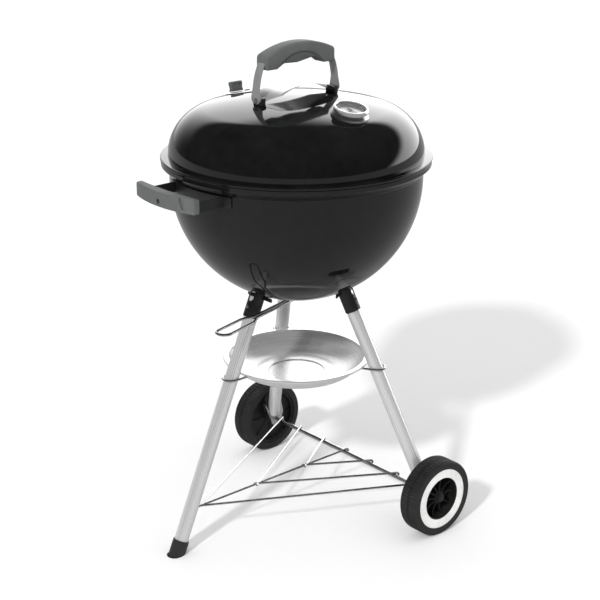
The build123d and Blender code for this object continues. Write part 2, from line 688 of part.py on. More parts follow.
with BuildPart() as gauge_needle:
    ring(0, 1.5, 7.0, 10.2, gauge_plane)
    with BuildSketch(gauge_plane.offset(10.2)):
        Circle(3)
        with BuildLine():
            Polyline((-9, -1.2), (23, -0.4), (23, 0.4), (-9, 1.2), close=True)
        make_face()
    extrude(amount=1.0)
save(gauge_needle.part, "thermometer_needle")

# Lid handle: lugs welded to the lid, two strap legs, an arched shield and a two-part grip
lug_y = 84.0
lug_top_z = 811.0
strap_sheet = 2.6
screw_z = 806.5
strap_top_z = 872.0

with BuildPart() as lid_handle_lugs:
    for side in (-1, 1):
        with BuildSketch(Plane.XY.offset(780)):
            with Locations((0, side * lug_y)):
                RectangleRounded(24, 11, 3)
        extrude(amount=lug_top_z - 780)
    with Locations((0, 0, crown_centre_z)):
        Sphere(crown_radius + weld_gap, mode=Mode.SUBTRACT)
save(lid_handle_lugs.part, "lid_handle_lugs")

for name, side in (("front", -1), ("rear", 1)):
    with BuildPart() as handle_strap:
        with BuildSketch(Plane(origin=(-14, 0, 0), x_dir=(0, 1, 0), z_dir=(1, 0, 0))):
            with BuildLine():
                foot_y = side * (lug_y + 5.55)
                head_y = side * 75.0
                belly_y = side * (lug_y + 2.5)
                bow = side * strap_sheet
                Polyline((foot_y + bow, 814), (foot_y + bow, 801), (foot_y, 801), (foot_y, 814))
                ThreePointArc((foot_y, 814), (belly_y, 843), (head_y, strap_top_z))
                Line((head_y, strap_top_z), (head_y + bow, strap_top_z + 0.8))
                ThreePointArc((head_y + bow, strap_top_z + 0.8), (belly_y + bow, 843),
                              (foot_y + bow, 814))
            make_face()
        extrude(amount=28)
        with BuildSketch(Plane.XZ):
            with BuildLine():
                Polyline((-12.5, 806), (-12.5, 812), (-9, 828), (-9, 880), (9, 880), (9, 828),
                         (12.5, 812), (12.5, 806), (7, 801), (-7, 801), close=True)
            make_face()
        extrude(amount=120, both=True, mode=Mode.INTERSECT)
        strap_axis = Plane(origin=(0, side * 70, screw_z), x_dir=(1, 0, 0), z_dir=(0, side, 0))
        ring(0, 2.6, 0, 40, strap_axis, Mode.SUBTRACT)
    save(handle_strap.part, f"lid_strap_{name}")

with BuildPart() as lid_handle_screws:
    for side in (-1, 1):
        screw_axis = Plane(origin=(0, side * lug_y, screw_z), x_dir=(1, 0, 0), z_dir=(0, side, 0))
        ring(0, 2.4, 5.6, 8.4, screw_axis)
        ring(0, 4.6, 8.25, 10.8, screw_axis)
save(lid_handle_screws.part, "lid_handle_screws")

shield_half_width = 33.0
shield_sheet = 1.0
shield_low_z = 806.0
shield_peak_z = 829.0
shield_end = lug_y - 5.55      # clear of the lug's inner face

with BuildPart() as heat_shield:
    with BuildSketch(Plane(origin=(-shield_half_width, 0, 0), x_dir=(0, 1, 0), z_dir=(1, 0, 0))):
        with BuildLine():
            ThreePointArc((-shield_end, shield_low_z), (0, shield_peak_z), (shield_end, shield_low_z))
            Line((shield_end, shield_low_z), (shield_end, shield_low_z + shield_sheet))
            ThreePointArc((shield_end, shield_low_z + shield_sheet), (0, shield_peak_z + shield_sheet),
                          (-shield_end, shield_low_z + shield_sheet))
            Line((-shield_end, shield_low_z + shield_sheet), (-shield_end, shield_low_z))
        make_face()
    extrude(amount=2 * shield_half_width)
    with BuildSketch(Plane.XY.offset(780)):
        with BuildLine():
            Polyline((-11, -80), (11, -80), (shield_half_width, -62), (shield_half_width, 62), (11, 80),
                     (-11, 80), (-shield_half_width, 62), (-shield_half_width, -62), close=True)
        make_face()
    extrude(amount=80, mode=Mode.INTERSECT)
save(heat_shield.part, "heat_shield")

end_y = 79.0                   # half the lid grip's length
grip_half_width = 15.0
end_top_z = 882.0
end_low_z = 858.0
back_top_z = 900.0
arch_half = 54.0

with BuildPart() as lid_grip_cover:
    with BuildSketch(Plane(origin=(-grip_half_width, 0, 0), x_dir=(0, 1, 0), z_dir=(1, 0, 0))):
        with BuildLine():
            ThreePointArc((-end_y, end_top_z), (0, back_top_z), (end_y, end_top_z))
            Polyline((end_y, end_top_z), (end_y, end_low_z), (arch_half, end_low_z))
            ThreePointArc((arch_half, end_low_z), (0, end_top_z), (-arch_half, end_low_z))
            Polyline((-arch_half, end_low_z), (-end_y, end_low_z), (-end_y, end_top_z))
        make_face()
    extrude(amount=2 * grip_half_width)
    fillet(lid_grip_cover.edges().filter_by(GeomType.CIRCLE).sort_by(Axis.Z)[-2:], 5)
    for side in (-1, 1):
        with Locations((0, side * 77.5, 866)):
            Box(18.4, 9.0, 20, mode=Mode.SUBTRACT)
save(lid_grip_cover.part, "lid_grip_cover")

with BuildPart() as lid_grip_insert:
    with BuildSketch(Plane(origin=(-grip_half_width + 1.5, 0, 0), x_dir=(0, 1, 0),
                           z_dir=(1, 0, 0))):
        with BuildLine():
            ThreePointArc((53.5, 858.2), (0, 881.95), (-53.5, 858.2))
            Polyline((-53.5, 858.2), (-38, 866), (-8, 864.5), (34, 871.5), (53.5, 858.2))
        make_face()
    extrude(amount=2 * grip_half_width - 3)
save(lid_grip_insert.part, "lid_grip_insert")

# Hook inside the lid that hangs it on the bowl's lip
with BuildPart() as lid_hook:
    with BuildLine() as hook_path:
        FilletPolyline((0, 216.5, 738), (0, 207, 722), (0, 207, 700), (0, 217, 700), radius=4)
    with BuildSketch(Plane(origin=hook_path.wires()[0] @ 0, z_dir=hook_path.wires()[0] % 0)):
        Circle(2.5)
    sweep(path=hook_path.wires()[0])
save(lid_hook.part, "lid_hook")
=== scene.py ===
import math

import bmesh
import bpy
import numpy as np
from mathutils import Matrix


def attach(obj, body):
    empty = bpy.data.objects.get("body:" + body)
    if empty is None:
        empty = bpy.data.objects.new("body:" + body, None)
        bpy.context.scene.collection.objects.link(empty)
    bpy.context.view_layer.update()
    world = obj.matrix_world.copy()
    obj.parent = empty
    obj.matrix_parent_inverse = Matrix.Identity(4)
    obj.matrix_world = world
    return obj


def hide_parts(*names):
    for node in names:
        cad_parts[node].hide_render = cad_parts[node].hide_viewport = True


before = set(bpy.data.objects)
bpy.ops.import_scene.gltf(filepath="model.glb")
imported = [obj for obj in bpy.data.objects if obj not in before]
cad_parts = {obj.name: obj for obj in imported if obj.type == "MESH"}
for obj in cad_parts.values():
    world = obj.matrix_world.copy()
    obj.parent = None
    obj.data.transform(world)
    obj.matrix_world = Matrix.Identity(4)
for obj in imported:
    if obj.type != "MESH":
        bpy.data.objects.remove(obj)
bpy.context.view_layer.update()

mm = 0.001  # pieces are worked out in millimetres and stored in metres
print("frame loaded:", len(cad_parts), "CAD nodes")

# Surfaces


def unit(angle):  # horizontal unit vector at an angle from +X
    return np.array([math.cos(math.radians(angle)), math.sin(math.radians(angle)), 0.0])


def axes(normal, across):  # rows x, y, z of a frame: z is the normal, x lies nearest to across, y = z x x
    z = np.array(normal, float) / np.linalg.norm(normal)
    x = np.array(across, float) - (np.array(across, float) @ z) * z
    x = x / np.linalg.norm(x)
    return np.array([x, np.cross(z, x), z])


level = (np.zeros(3), np.eye(3))  # a place is an origin and the rows x, y, z


def arc(first, middle, last, steps):  # circle through three points: p = centre + radius (cos t, sin t)
    (ax, ay), (bx, by), (cx, cy) = first, middle, last
    d = 2 * (ax * (by - cy) + bx * (cy - ay) + cx * (ay - by))
    a2, b2, c2 = ax * ax + ay * ay, bx * bx + by * by, cx * cx + cy * cy
    centre = np.array([(a2 * (by - cy) + b2 * (cy - ay) + c2 * (ay - by)) / d,
                       (a2 * (cx - bx) + b2 * (ax - cx) + c2 * (bx - ax)) / d])
    turn = [math.atan2(p[1] - centre[1], p[0] - centre[0]) for p in (first, middle, last)]
    full = (turn[2] - turn[0]) % (2 * math.pi)
    if (turn[1] - turn[0]) % (2 * math.pi) > full:
        full -= 2 * math.pi
    t = turn[0] + np.linspace(0, full, steps)
    radius = math.hypot(ax - centre[0], ay - centre[1])
    return centre + radius * np.stack([np.cos(t), np.sin(t)], -1)


def rounded(corners, radii, steps=6, closed=True):
    # each corner gives way to an arc tangent to its sides, centred at radius / sin(half its angle) along the bisector
    p = np.asarray(corners, float)
    radii = np.broadcast_to(radii, len(p))
    runs = []
    for i in range(len(p)):
        a, b = p[i - 1] - p[i], p[(i + 1) % len(p)] - p[i]
        la, lb = np.linalg.norm(a), np.linalg.norm(b)
        atEnd = not closed and i in (0, len(p) - 1)
        half = 0.0 if atEnd else 0.5 * math.acos(np.clip(a @ b / (la * lb), -1, 1))
        if atEnd or radii[i] <= 0 or half > 1.56:
            runs.append(p[i][None])
            continue
        a, b = a / la, b / lb
        reach = min(radii[i] / math.tan(half), 0.49 * min(la, lb))
        centre = p[i] + (a + b) / np.linalg.norm(a + b) * (reach / math.cos(half))
        span = math.pi - 2 * half
        t = np.linspace(0, 1, steps + 1)[:, None]
        start, end = p[i] + a * reach - centre, p[i] + b * reach - centre
        runs.append(centre + (np.sin((1 - t) * span) * start + np.sin(t * span) * end) / math.sin(span))
    return np.concatenate(runs)


def skin(grid, closeRows=False, closeCols=True, caps=False):
    # quads (i, j), (i, j+1), (i+1, j+1), (i+1, j) over a grid of points, and one face over each end row
    rows, cols = grid.shape[:2]
    i, j = np.meshgrid(np.arange(rows if closeRows else rows - 1),
                       np.arange(cols if closeCols else cols - 1), indexing="ij")
    nextRow, nextCol = (i + 1) % rows, (j + 1) % cols
    faces = np.stack([i * cols + j, i * cols + nextCol, nextRow * cols + nextCol, nextRow * cols + j],
                     -1).reshape(-1, 4).tolist()
    if caps:
        faces += [list(range(cols)), list(range((rows - 1) * cols, rows * cols))]
    return grid.reshape(-1, 3), faces


def spun(profile, steps, place=level, closed=True):
    # x = r cos a, y = r sin a, z = h for each (r, h) of the profile and a from 0 to a full turn
    a = np.linspace(0, 2 * np.pi, steps, endpoint=False)
    r, h = np.asarray(profile, float).T
    grid = np.stack([np.outer(r, np.cos(a)), np.outer(r, np.sin(a)), np.outer(h, np.ones(steps))], -1)
    return skin(grid @ place[1] + place[0], closeRows=closed)


def slab(outline, layers, place=level):
    # layer k is the outline moved in by its inset along the mitred normal and lifted to its height
    p = np.asarray(outline, float)
    q = np.roll(p, -1, 0)
    if (p[:, 0] * q[:, 1] - q[:, 0] * p[:, 1]).sum() < 0:
        p = p[::-1]
    edge = np.roll(p, -1, 0) - p
    edge = edge / np.linalg.norm(edge, axis=1, keepdims=True)
    n = np.stack([edge[:, 1], -edge[:, 0]], -1)
    before = np.roll(n, 1, 0)
    mitre = (n + before) / np.maximum(1 + (n * before).sum(1, keepdims=True), 0.4)
    inset, height = np.asarray(layers, float).T
    flat = p[None] - inset[:, None, None] * mitre[None]
    grid = np.concatenate([flat, np.broadcast_to(height[:, None, None], flat.shape[:2] + (1,))], -1)
    return skin(grid @ place[1] + place[0], caps=True)


def softLayers(low, high, radius, steps=5):  # inset = r (1 - cos t), so both rims of a slab are quarter rounds
    t = np.linspace(0, np.pi / 2, steps)
    inset, rise = radius * (1 - np.sin(t)), radius * (1 - np.cos(t))
    return np.concatenate([np.stack([inset, low + rise], -1), np.stack([inset, high - rise], -1)[::-1]])


def tube(path, radius, normal, sides=12, closed=False):
    # p = path + radius (cos a side + sin a up), with side = tangent x normal; open ends are domed
    path = np.asarray(path, float)
    if closed:
        tangent = np.roll(path, -1, 0) - np.roll(path, 1, 0)
    else:
        tangent = np.gradient(path, axis=0)
    tangent = tangent / np.linalg.norm(tangent, axis=1, keepdims=True)
    width = np.full(len(path), float(radius))
    if not closed:
        t = np.linspace(0.15, np.pi / 2, 4)
        path = np.concatenate([path[0] + radius * (1 - np.sin(t))[:, None] * tangent[0], path[1:-1],
                               (path[-1] - radius * (1 - np.sin(t))[:, None] * tangent[-1])[::-1]])
        tangent = np.concatenate([np.repeat(tangent[:1], 4, 0), tangent[1:-1],
                                  np.repeat(tangent[-1:], 4, 0)])
        # the dome: the ring's radius grows as sin t while its centre moves in by r (1 - sin t)
        width = np.concatenate([radius * np.sin(t), width[1:-1], radius * np.sin(t)[::-1]])
    side = np.cross(tangent, np.array(normal, float))
    side = side / np.linalg.norm(side, axis=1, keepdims=True)
    up = np.cross(side, tangent)
    a = np.linspace(0, 2 * np.pi, sides, endpoint=False)[None, :, None]
    grid = path[:, None] + width[:, None, None] * (np.cos(a) * side[:, None] + np.sin(a) * up[:, None])
    return skin(grid, closeRows=closed, caps=not closed)


def line(start, end, steps=2):  # evenly spaced points from start to end
    return np.linspace(np.array(start, float), np.array(end, float), steps)


def makeMesh(name, shells, sharp=35):
    points, faces, first = [], [], 0
    for shellPoints, shellFaces in shells:
        points.append(shellPoints)
        faces += [[v + first for v in face] for face in shellFaces]
        first += len(shellPoints)
    mesh = bpy.data.meshes.new(name)
    mesh.from_pydata(np.concatenate(points) * mm, [], faces)
    solid = bmesh.new()
    solid.from_mesh(mesh)
    bmesh.ops.remove_doubles(solid, verts=solid.verts, dist=1e-7)
    bmesh.ops.dissolve_degenerate(solid, edges=solid.edges, dist=1e-8)
    bmesh.ops.recalc_face_normals(solid, faces=solid.faces)
    solid.to_mesh(mesh)
    solid.free()
    mesh.polygons.foreach_set("use_smooth", np.ones(len(mesh.polygons), bool))
    mesh.set_sharp_from_angle(angle=math.radians(sharp))
    return mesh


def addPiece(name, shells, material, body, slot, *stoodFor, sharp=35):
    piece = bpy.data.objects.new(name, makeMesh(name, shells, sharp))
    bpy.context.scene.collection.objects.link(piece)
    piece.data.materials.append(material)
    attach(piece, body)
    if stoodFor:
        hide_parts(*stoodFor)
    return piece


def drill(piece, shells, sharp=35):  # takes closed shells out of a finished piece
    tool = bpy.data.objects.new("drill", makeMesh("drill", shells))
    bpy.context.scene.collection.objects.link(tool)
    cut = piece.modifiers.new("cut", "BOOLEAN")
    cut.operation, cut.solver, cut.object = "DIFFERENCE", "EXACT", tool
    bpy.context.view_layer.update()
    evaluated = piece.evaluated_get(bpy.context.evaluated_depsgraph_get())
    mesh = bpy.data.meshes.new_from_object(evaluated)
    piece.modifiers.clear()
    piece.data = mesh
    bpy.data.objects.remove(tool)
    mesh.polygons.foreach_set("use_smooth", np.ones(len(mesh.polygons), bool))
    mesh.set_sharp_from_angle(angle=math.radians(sharp))


def soften(piece, width, segments=2):
    edge = piece.modifiers.new("edge", "BEVEL")
    edge.width, edge.segments, edge.limit_method, edge.angle_limit = width * mm, segments, "ANGLE", math.radians(40)


# Shader groups, each built once


def newGroup(name, inputs, outputs):
    group = bpy.data.node_groups.new(name, "ShaderNodeTree")
    for label, kind, value in inputs:
        socket = group.interface.new_socket(label, in_out="INPUT", socket_type=kind)
        if value is not None:
            socket.default_value = value
    for label, kind in outputs:
        group.interface.new_socket(label, in_out="OUTPUT", socket_type=kind)
    return group, group.nodes.new("NodeGroupInput"), group.nodes.new("NodeGroupOutput")


def addNode(tree, kind, links=(), **settings):  # links pairs an input with a socket or a value
    node = tree.nodes.new(kind)
    for key, value in settings.items():
        setattr(node, key, value)
    for key, value in dict(links).items():
        if isinstance(value, bpy.types.NodeSocket):
            tree.links.new(value, node.inputs[key])
        else:
            node.inputs[key].default_value = value
    return node


def addMath(tree, operation, *terms):
    return addNode(tree, "ShaderNodeMath", enumerate(terms), operation=operation).outputs[0]


def buildGrain():  # value = 0.65 broad noise + 0.35 fine noise, both about 0.5
    group, given, result = newGroup("surface grain", [
        ("Vector", "NodeSocketVector", None), ("Scale", "NodeSocketFloat", 60.0),
        ("Fine", "NodeSocketFloat", 8.0)], [("Value", "NodeSocketFloat")])
    broad = addNode(group, "ShaderNodeTexNoise", {"Vector": given.outputs["Vector"], "Scale": given.outputs["Scale"],
                                                  "Detail": 3.0})
    scale = addMath(group, "MULTIPLY", given.outputs["Scale"], given.outputs["Fine"])
    fine = addNode(group, "ShaderNodeTexNoise", {"Vector": given.outputs["Vector"], "Scale": scale, "Detail": 2.0})
    total = addMath(group, "ADD", addMath(group, "MULTIPLY", broad.outputs["Fac"], 0.65),
                    addMath(group, "MULTIPLY", fine.outputs["Fac"], 0.35))
    group.links.new(total, result.inputs["Value"])
    return group


def buildStreaks():  # noise on the point with its z shortened by Stretch, so it draws out along z
    group, given, result = newGroup("drawn streaks", [
        ("Vector", "NodeSocketVector", None), ("Scale", "NodeSocketFloat", 900.0),
        ("Stretch", "NodeSocketFloat", 60.0)], [("Value", "NodeSocketFloat")])
    parts = addNode(group, "ShaderNodeSeparateXYZ", {"Vector": given.outputs["Vector"]})
    short = addMath(group, "DIVIDE", parts.outputs["Z"], given.outputs["Stretch"])
    point = addNode(group, "ShaderNodeCombineXYZ", {"X": parts.outputs["X"], "Y": parts.outputs["Y"], "Z": short})
    noise = addNode(group, "ShaderNodeTexNoise", {"Vector": point.outputs[0], "Scale": given.outputs["Scale"],
                                                  "Detail": 4.0, "Roughness": 0.6})
    group.links.new(noise.outputs["Fac"], result.inputs["Value"])
    return group


def buildRings():  # one-way noise on the distance from the z axis: the marks of spinning on a lathe
    group, given, result = newGroup("spun rings", [
        ("Vector", "NodeSocketVector", None), ("Scale", "NodeSocketFloat", 900.0)], [("Value", "NodeSocketFloat")])
    flat = addNode(group, "ShaderNodeVectorMath", {0: given.outputs["Vector"], 1: (1.0, 1.0, 0.0)},
                   operation="MULTIPLY")
    reach = addNode(group, "ShaderNodeVectorMath", {0: flat.outputs[0]}, operation="LENGTH")
    noise = addNode(group, "ShaderNodeTexNoise", {"W": reach.outputs["Value"], "Scale": given.outputs["Scale"],
                                                  "Detail": 3.0}, noise_dimensions="1D")
    group.links.new(noise.outputs["Fac"], result.inputs["Value"])
    return group


def buildDust():  # mask = (upward part of the normal)^2 x a patchy noise
    group, given, result = newGroup("settled dust", [
        ("Vector", "NodeSocketVector", None), ("Scale", "NodeSocketFloat", 14.0),
        ("Amount", "NodeSocketFloat", 0.1)], [("Mask", "NodeSocketFloat")])
    facing = addNode(group, "ShaderNodeNewGeometry")
    parts = addNode(group, "ShaderNodeSeparateXYZ", {"Vector": facing.outputs["Normal"]})
    up = addMath(group, "POWER", addMath(group, "MAXIMUM", parts.outputs["Z"], 0.0), 2.0)
    noise = addNode(group, "ShaderNodeTexNoise", {"Vector": given.outputs["Vector"], "Scale": given.outputs["Scale"],
                                                  "Detail": 6.0})
    patch = addNode(group, "ShaderNodeMapRange", {"Value": noise.outputs["Fac"], "From Min": 0.4, "From Max": 0.75})
    mask = addMath(group, "MULTIPLY", addMath(group, "MULTIPLY", up, patch.outputs[0]), given.outputs["Amount"])
    group.links.new(mask, result.inputs["Mask"])
    return group


groups = {"grain": buildGrain(), "streaks": buildStreaks(), "rings": buildRings(), "dust": buildDust()}


def placeOf(tree, centre=(0, 0, 0), turn=(0, 0, 0)):  # Object coordinates, measured from a centre in a turned frame
    where = addNode(tree, "ShaderNodeTexCoord")
    mapping = addNode(tree, "ShaderNodeMapping", {"Vector": where.outputs["Object"], "Location": centre,
                                                  "Rotation": turn}, vector_type="TEXTURE")
    return mapping.outputs[0]


def useGroup(tree, kind, vector, **values):
    return addNode(tree, "ShaderNodeGroup", {"Vector": vector, **values}, node_tree=groups[kind]).outputs[0]


def blendColour(tree, mask, first, second, low=0.35, high=0.65):
    share = addNode(tree, "ShaderNodeMapRange", {"Value": mask, "From Min": low, "From Max": high})
    mix = addNode(tree, "ShaderNodeMix", {"Factor": share.outputs[0]}, data_type="RGBA")
    for socket, value in (("A", first), ("B", second)):
        target = [s for s in mix.inputs if s.name == socket and s.type == "RGBA"][0]
        if isinstance(value, bpy.types.NodeSocket):
            tree.links.new(value, target)
        else:
            target.default_value = (*value, 1.0)
    return [s for s in mix.outputs if s.type == "RGBA"][0]


def spread(tree, mask, low, high):  # a value between low and high
    return addNode(tree, "ShaderNodeMapRange", {"Value": mask, "From Min": 0.3, "From Max": 0.7, "To Min": low,
                                                "To Max": high}).outputs[0]


def newMaterial(name, **constants):
    material = bpy.data.materials.new(name)
    material.use_nodes = True
    shader = material.node_tree.nodes["Principled BSDF"]
    for key, value in constants.items():
        shader.inputs[key.replace("_", " ")].default_value = value
    return material, material.node_tree, shader


def wire(tree, shader, colour=None, roughness=None, heights=(), distance=0.0002):
    # heights pairs a mask with a bump strength; the bumps follow one another into Normal
    if colour is not None:
        tree.links.new(colour, shader.inputs["Base Color"])
    if roughness is not None:
        tree.links.new(roughness, shader.inputs["Roughness"])
    normal = None
    for mask, strength in heights:
        bump = addNode(tree, "ShaderNodeBump", {"Height": mask, "Strength": strength, "Distance": distance})
        if normal is not None:
            tree.links.new(normal, bump.inputs["Normal"])
        normal = bump.outputs[0]
    if normal is not None:
        tree.links.new(normal, shader.inputs["Normal"])


enamelLook = {"base": (0.0035, 0.0035, 0.0038), "haze": (0.0075, 0.0075, 0.0082), "dust": (0.10, 0.10, 0.095),
              "gloss": 0.045, "smudge": 0.09, "level": 0.40}


def glassyEnamel():
    material, tree, shader = newMaterial("vitreous enamel", Specular_IOR_Level=enamelLook["level"])
    vector = placeOf(tree)
    peel = useGroup(tree, "grain", vector, Scale=70.0, Fine=5.0)
    smudge = useGroup(tree, "grain", vector, Scale=7.0, Fine=9.0)
    dust = useGroup(tree, "dust", vector, Amount=0.05)
    base = blendColour(tree, smudge, enamelLook["base"], enamelLook["haze"])
    colour = blendColour(tree, dust, base, enamelLook["dust"], 0.0, 1.0)
    wire(tree, shader, colour, spread(tree, smudge, enamelLook["gloss"], enamelLook["smudge"]), [(peel, 0.05)])
    return material


def paintedSteel(name, colour, roughness, level=0.5):  # satin powder coat with a fine pimple
    material, tree, shader = newMaterial(name, Specular_IOR_Level=level)
    vector = placeOf(tree)
    pimple = useGroup(tree, "grain", vector, Scale=700.0, Fine=3.0)
    worn = useGroup(tree, "grain", vector, Scale=35.0, Fine=6.0)
    pale = tuple(min(1.0, c * 1.5 + 0.004) for c in colour)
    wire(tree, shader, blendColour(tree, worn, colour, pale), spread(tree, worn, roughness, roughness + 0.16),
         [(pimple, 0.25)])
    return material


def drawnMetal(name, colour, shade, roughness, turn=(0, 0, 0), centre=(0, 0, 0), scale=700.0, stretch=70.0,
               depth=0.12, metallic=1.0):
    material, tree, shader = newMaterial(name, Metallic=metallic)
    vector = placeOf(tree, centre, turn)
    streak = useGroup(tree, "streaks", vector, Scale=scale, Stretch=stretch)
    broad = useGroup(tree, "streaks", vector, Scale=scale / 9, Stretch=stretch * 0.6)
    mark = useGroup(tree, "grain", vector, Scale=22.0, Fine=14.0)
    tone = blendColour(tree, broad, shade, colour, 0.3, 0.7)
    wire(tree, shader, blendColour(tree, mark, tone, colour, 0.45, 0.9),
         spread(tree, streak, roughness - 0.07, roughness + 0.09), [(streak, depth)])
    return material


def spunMetal(name, colour, shade, roughness, centre=(0, 0, 0), turn=(0, 0, 0), scale=700.0, depth=0.10,
              metallic=1.0):
    material, tree, shader = newMaterial(name, Metallic=metallic)
    vector = placeOf(tree, centre, turn)
    ring = useGroup(tree, "rings", vector, Scale=scale)
    broad = useGroup(tree, "rings", vector, Scale=scale / 14)
    mark = useGroup(tree, "grain", vector, Scale=18.0, Fine=12.0)
    tone = blendColour(tree, broad, shade, colour, 0.3, 0.7)
    wire(tree, shader, blendColour(tree, mark, tone, colour, 0.4, 0.9),
         spread(tree, ring, roughness - 0.05, roughness + 0.07), [(ring, depth)])
    return material


def mouldedPlastic(name, colour, roughness, scale=900.0, depth=0.35, level=0.5):  # spark-eroded grain, worn paler
    material, tree, shader = newMaterial(name, Specular_IOR_Level=level)
    vector = placeOf(tree)
    grain = useGroup(tree, "grain", vector, Scale=scale, Fine=2.5)
    worn = useGroup(tree, "grain", vector, Scale=28.0, Fine=7.0)
    dust = useGroup(tree, "dust", vector, Amount=0.10)
    pale = tuple(min(1.0, c * 1.22 + 0.003) for c in colour)
    base = blendColour(tree, worn, colour, pale)
    wire(tree, shader, blendColour(tree, dust, base, (0.30, 0.29, 0.27), 0.0, 1.0),
         spread(tree, worn, roughness, roughness + 0.14), [(grain, depth)])
    return material

# Materials

legTilt = math.atan(0.4303)  # a leg leans out this much of its height
enamel = glassyEnamel()
bracketBlack = paintedSteel("black bracket coat", (0.006, 0.006, 0.0065), 0.34)
panMetal = spunMetal("spun aluminium", (0.80, 0.80, 0.80), (0.76, 0.76, 0.76), 0.30, depth=0.025, metallic=0.65)
plated = drawnMetal("plated wire", (0.60, 0.60, 0.60), (0.40, 0.40, 0.40), 0.22, scale=900.0, stretch=6.0, depth=0.05)
polished = drawnMetal("polished steel", (0.86, 0.86, 0.85), (0.78, 0.78, 0.78), 0.13, turn=(math.pi / 2, 0, 0),
                      scale=900.0, stretch=90.0, depth=0.02, metallic=0.7)
platedSteel = drawnMetal("zinc plated steel", (0.66, 0.67, 0.67), (0.50, 0.50, 0.51), 0.30, scale=500.0, stretch=8.0,
                         depth=0.08)
strapMetal = drawnMetal("strap steel", (0.38, 0.39, 0.39), (0.30, 0.31, 0.31), 0.42, scale=600.0, stretch=30.0,
                        metallic=0.5)
gripNylon = mouldedPlastic("grey nylon", (0.095, 0.100, 0.100), 0.48, scale=1100.0, depth=0.22, level=0.3)
# the insert is the cover's nylon made darker: painted shade for where it sits under the grip's arch
insertNylonPaintedShade = mouldedPlastic("grey nylon insert with painted shade", (0.080, 0.084, 0.084), 0.52, scale=1100.0, depth=0.22, level=0.3)
blackPlastic = mouldedPlastic("black plastic", (0.018, 0.018, 0.018), 0.42)
hubPlastic = mouldedPlastic("wheel plastic", (0.007, 0.007, 0.007), 0.36, depth=0.2, level=0.35)
rubber = mouldedPlastic("tyre rubber", (0.016, 0.016, 0.016), 0.55, scale=800.0, depth=0.25, level=0.35)
bandWhite = mouldedPlastic("white band", (0.72, 0.72, 0.71), 0.40, depth=0.12)
needleBlack = paintedSteel("needle paint", (0.006, 0.006, 0.006), 0.30)


def legMetal(name, angle):  # the pattern's z lies along the leg
    return drawnMetal("leg aluminium " + name, (0.78, 0.78, 0.78), (0.70, 0.70, 0.70), 0.30,
                      turn=(0, -legTilt, math.radians(angle)), centre=tuple(unit(angle) * 0.288),
                      scale=650.0, stretch=260.0, depth=0.05, metallic=0.55)


def clearGlass():
    material, tree, shader = newMaterial("gauge glass", Transmission_Weight=1.0, IOR=1.07, Base_Color=(1, 1, 1, 1))
    smear = useGroup(tree, "grain", placeOf(tree), Scale=60.0, Fine=6.0)
    wire(tree, shader, None, spread(tree, smear, 0.01, 0.05), [(smear, 0.02)])
    return material


glass = clearGlass()
print("materials ready:", len(bpy.data.materials))

# Bowl

bowlSizes = {"radius": 226.5, "sheet": 1.5, "centre": 661.5, "wall": 674.0, "neck": 687.0, "lip": 240.8,
             "top": 694.8, "slotReach": 58.0, "slotTurn": -75.0, "spindle": 6.05}


def bowlProfile(s):  # outer quarter circle, upright wall, slanted neck and lip, then back down inside
    t = np.linspace(-math.pi / 2, 0, 64)
    arcs = [np.stack([r * np.cos(t), s["centre"] + r * np.sin(t)], -1)
            for r in (s["radius"], s["radius"] - s["sheet"])]
    lip, thin = s["lip"], s["lip"] - s["sheet"]
    neck = rounded([arcs[0][-1], (s["radius"], s["wall"]), (lip, s["neck"]), (lip, s["top"]), (thin, s["top"]),
                    (thin, s["neck"] + 0.6), (s["radius"] - s["sheet"], s["wall"] + 0.6), arcs[1][-1]],
                   [0, 3, 1.6, 0.7, 0.7, 1.2, 3, 0], closed=False)
    return np.concatenate([arcs[0][:-1], neck, arcs[1][-2::-1]])


def buildBowl(s):
    bowl = addPiece("bowlShell", [spun(bowlProfile(s), 144, closed=False)], enamel, "bowl_and_stand", "enamel",
                    "bowl", sharp=40)
    turns = [s["slotTurn"] + k * 120 for k in range(3)]
    slots = [slab(rounded([(-26, -10), (26, -10), (26, 10), (-26, 10)], 9.9), [(0, 425), (0, 460)],
                  (unit(a) * s["slotReach"], axes((0, 0, 1), unit(a)))) for a in turns]
    drill(bowl, slots + [spun([(0, 425), (s["spindle"], 425), (s["spindle"], 460), (0, 460)], 24, closed=False)], 40)
    return bowl


buildBowl(bowlSizes)
print("bowl")

# Lid

lidSizes = {"radius": 228.0, "sheet": 1.5, "wall": 702.0, "apex": 805.0, "knuckle": 85.0, "rim": 242.0,
            "rimLow": 695.2, "rimHigh": 701.0, "vent": 8.0, "ventReach": 24.0, "stem": 4.02}
lidRise = lidSizes["apex"] - lidSizes["wall"]
crown = (lidSizes["radius"] ** 2 + lidRise ** 2 - 2 * lidSizes["radius"] * lidSizes["knuckle"]) / (
    2 * (lidRise - lidSizes["knuckle"]))  # radius of the sphere that the crown is cut from
crownZ = lidSizes["apex"] - crown


def domePlace(reach, angle):  # a place on the crown: z along its normal, x outward
    tilt = math.asin(reach / crown)
    normal = unit(angle) * math.sin(tilt) + np.array([0, 0, math.cos(tilt)])
    return np.array([0, 0, crownZ]) + normal * crown, axes(normal, unit(angle))


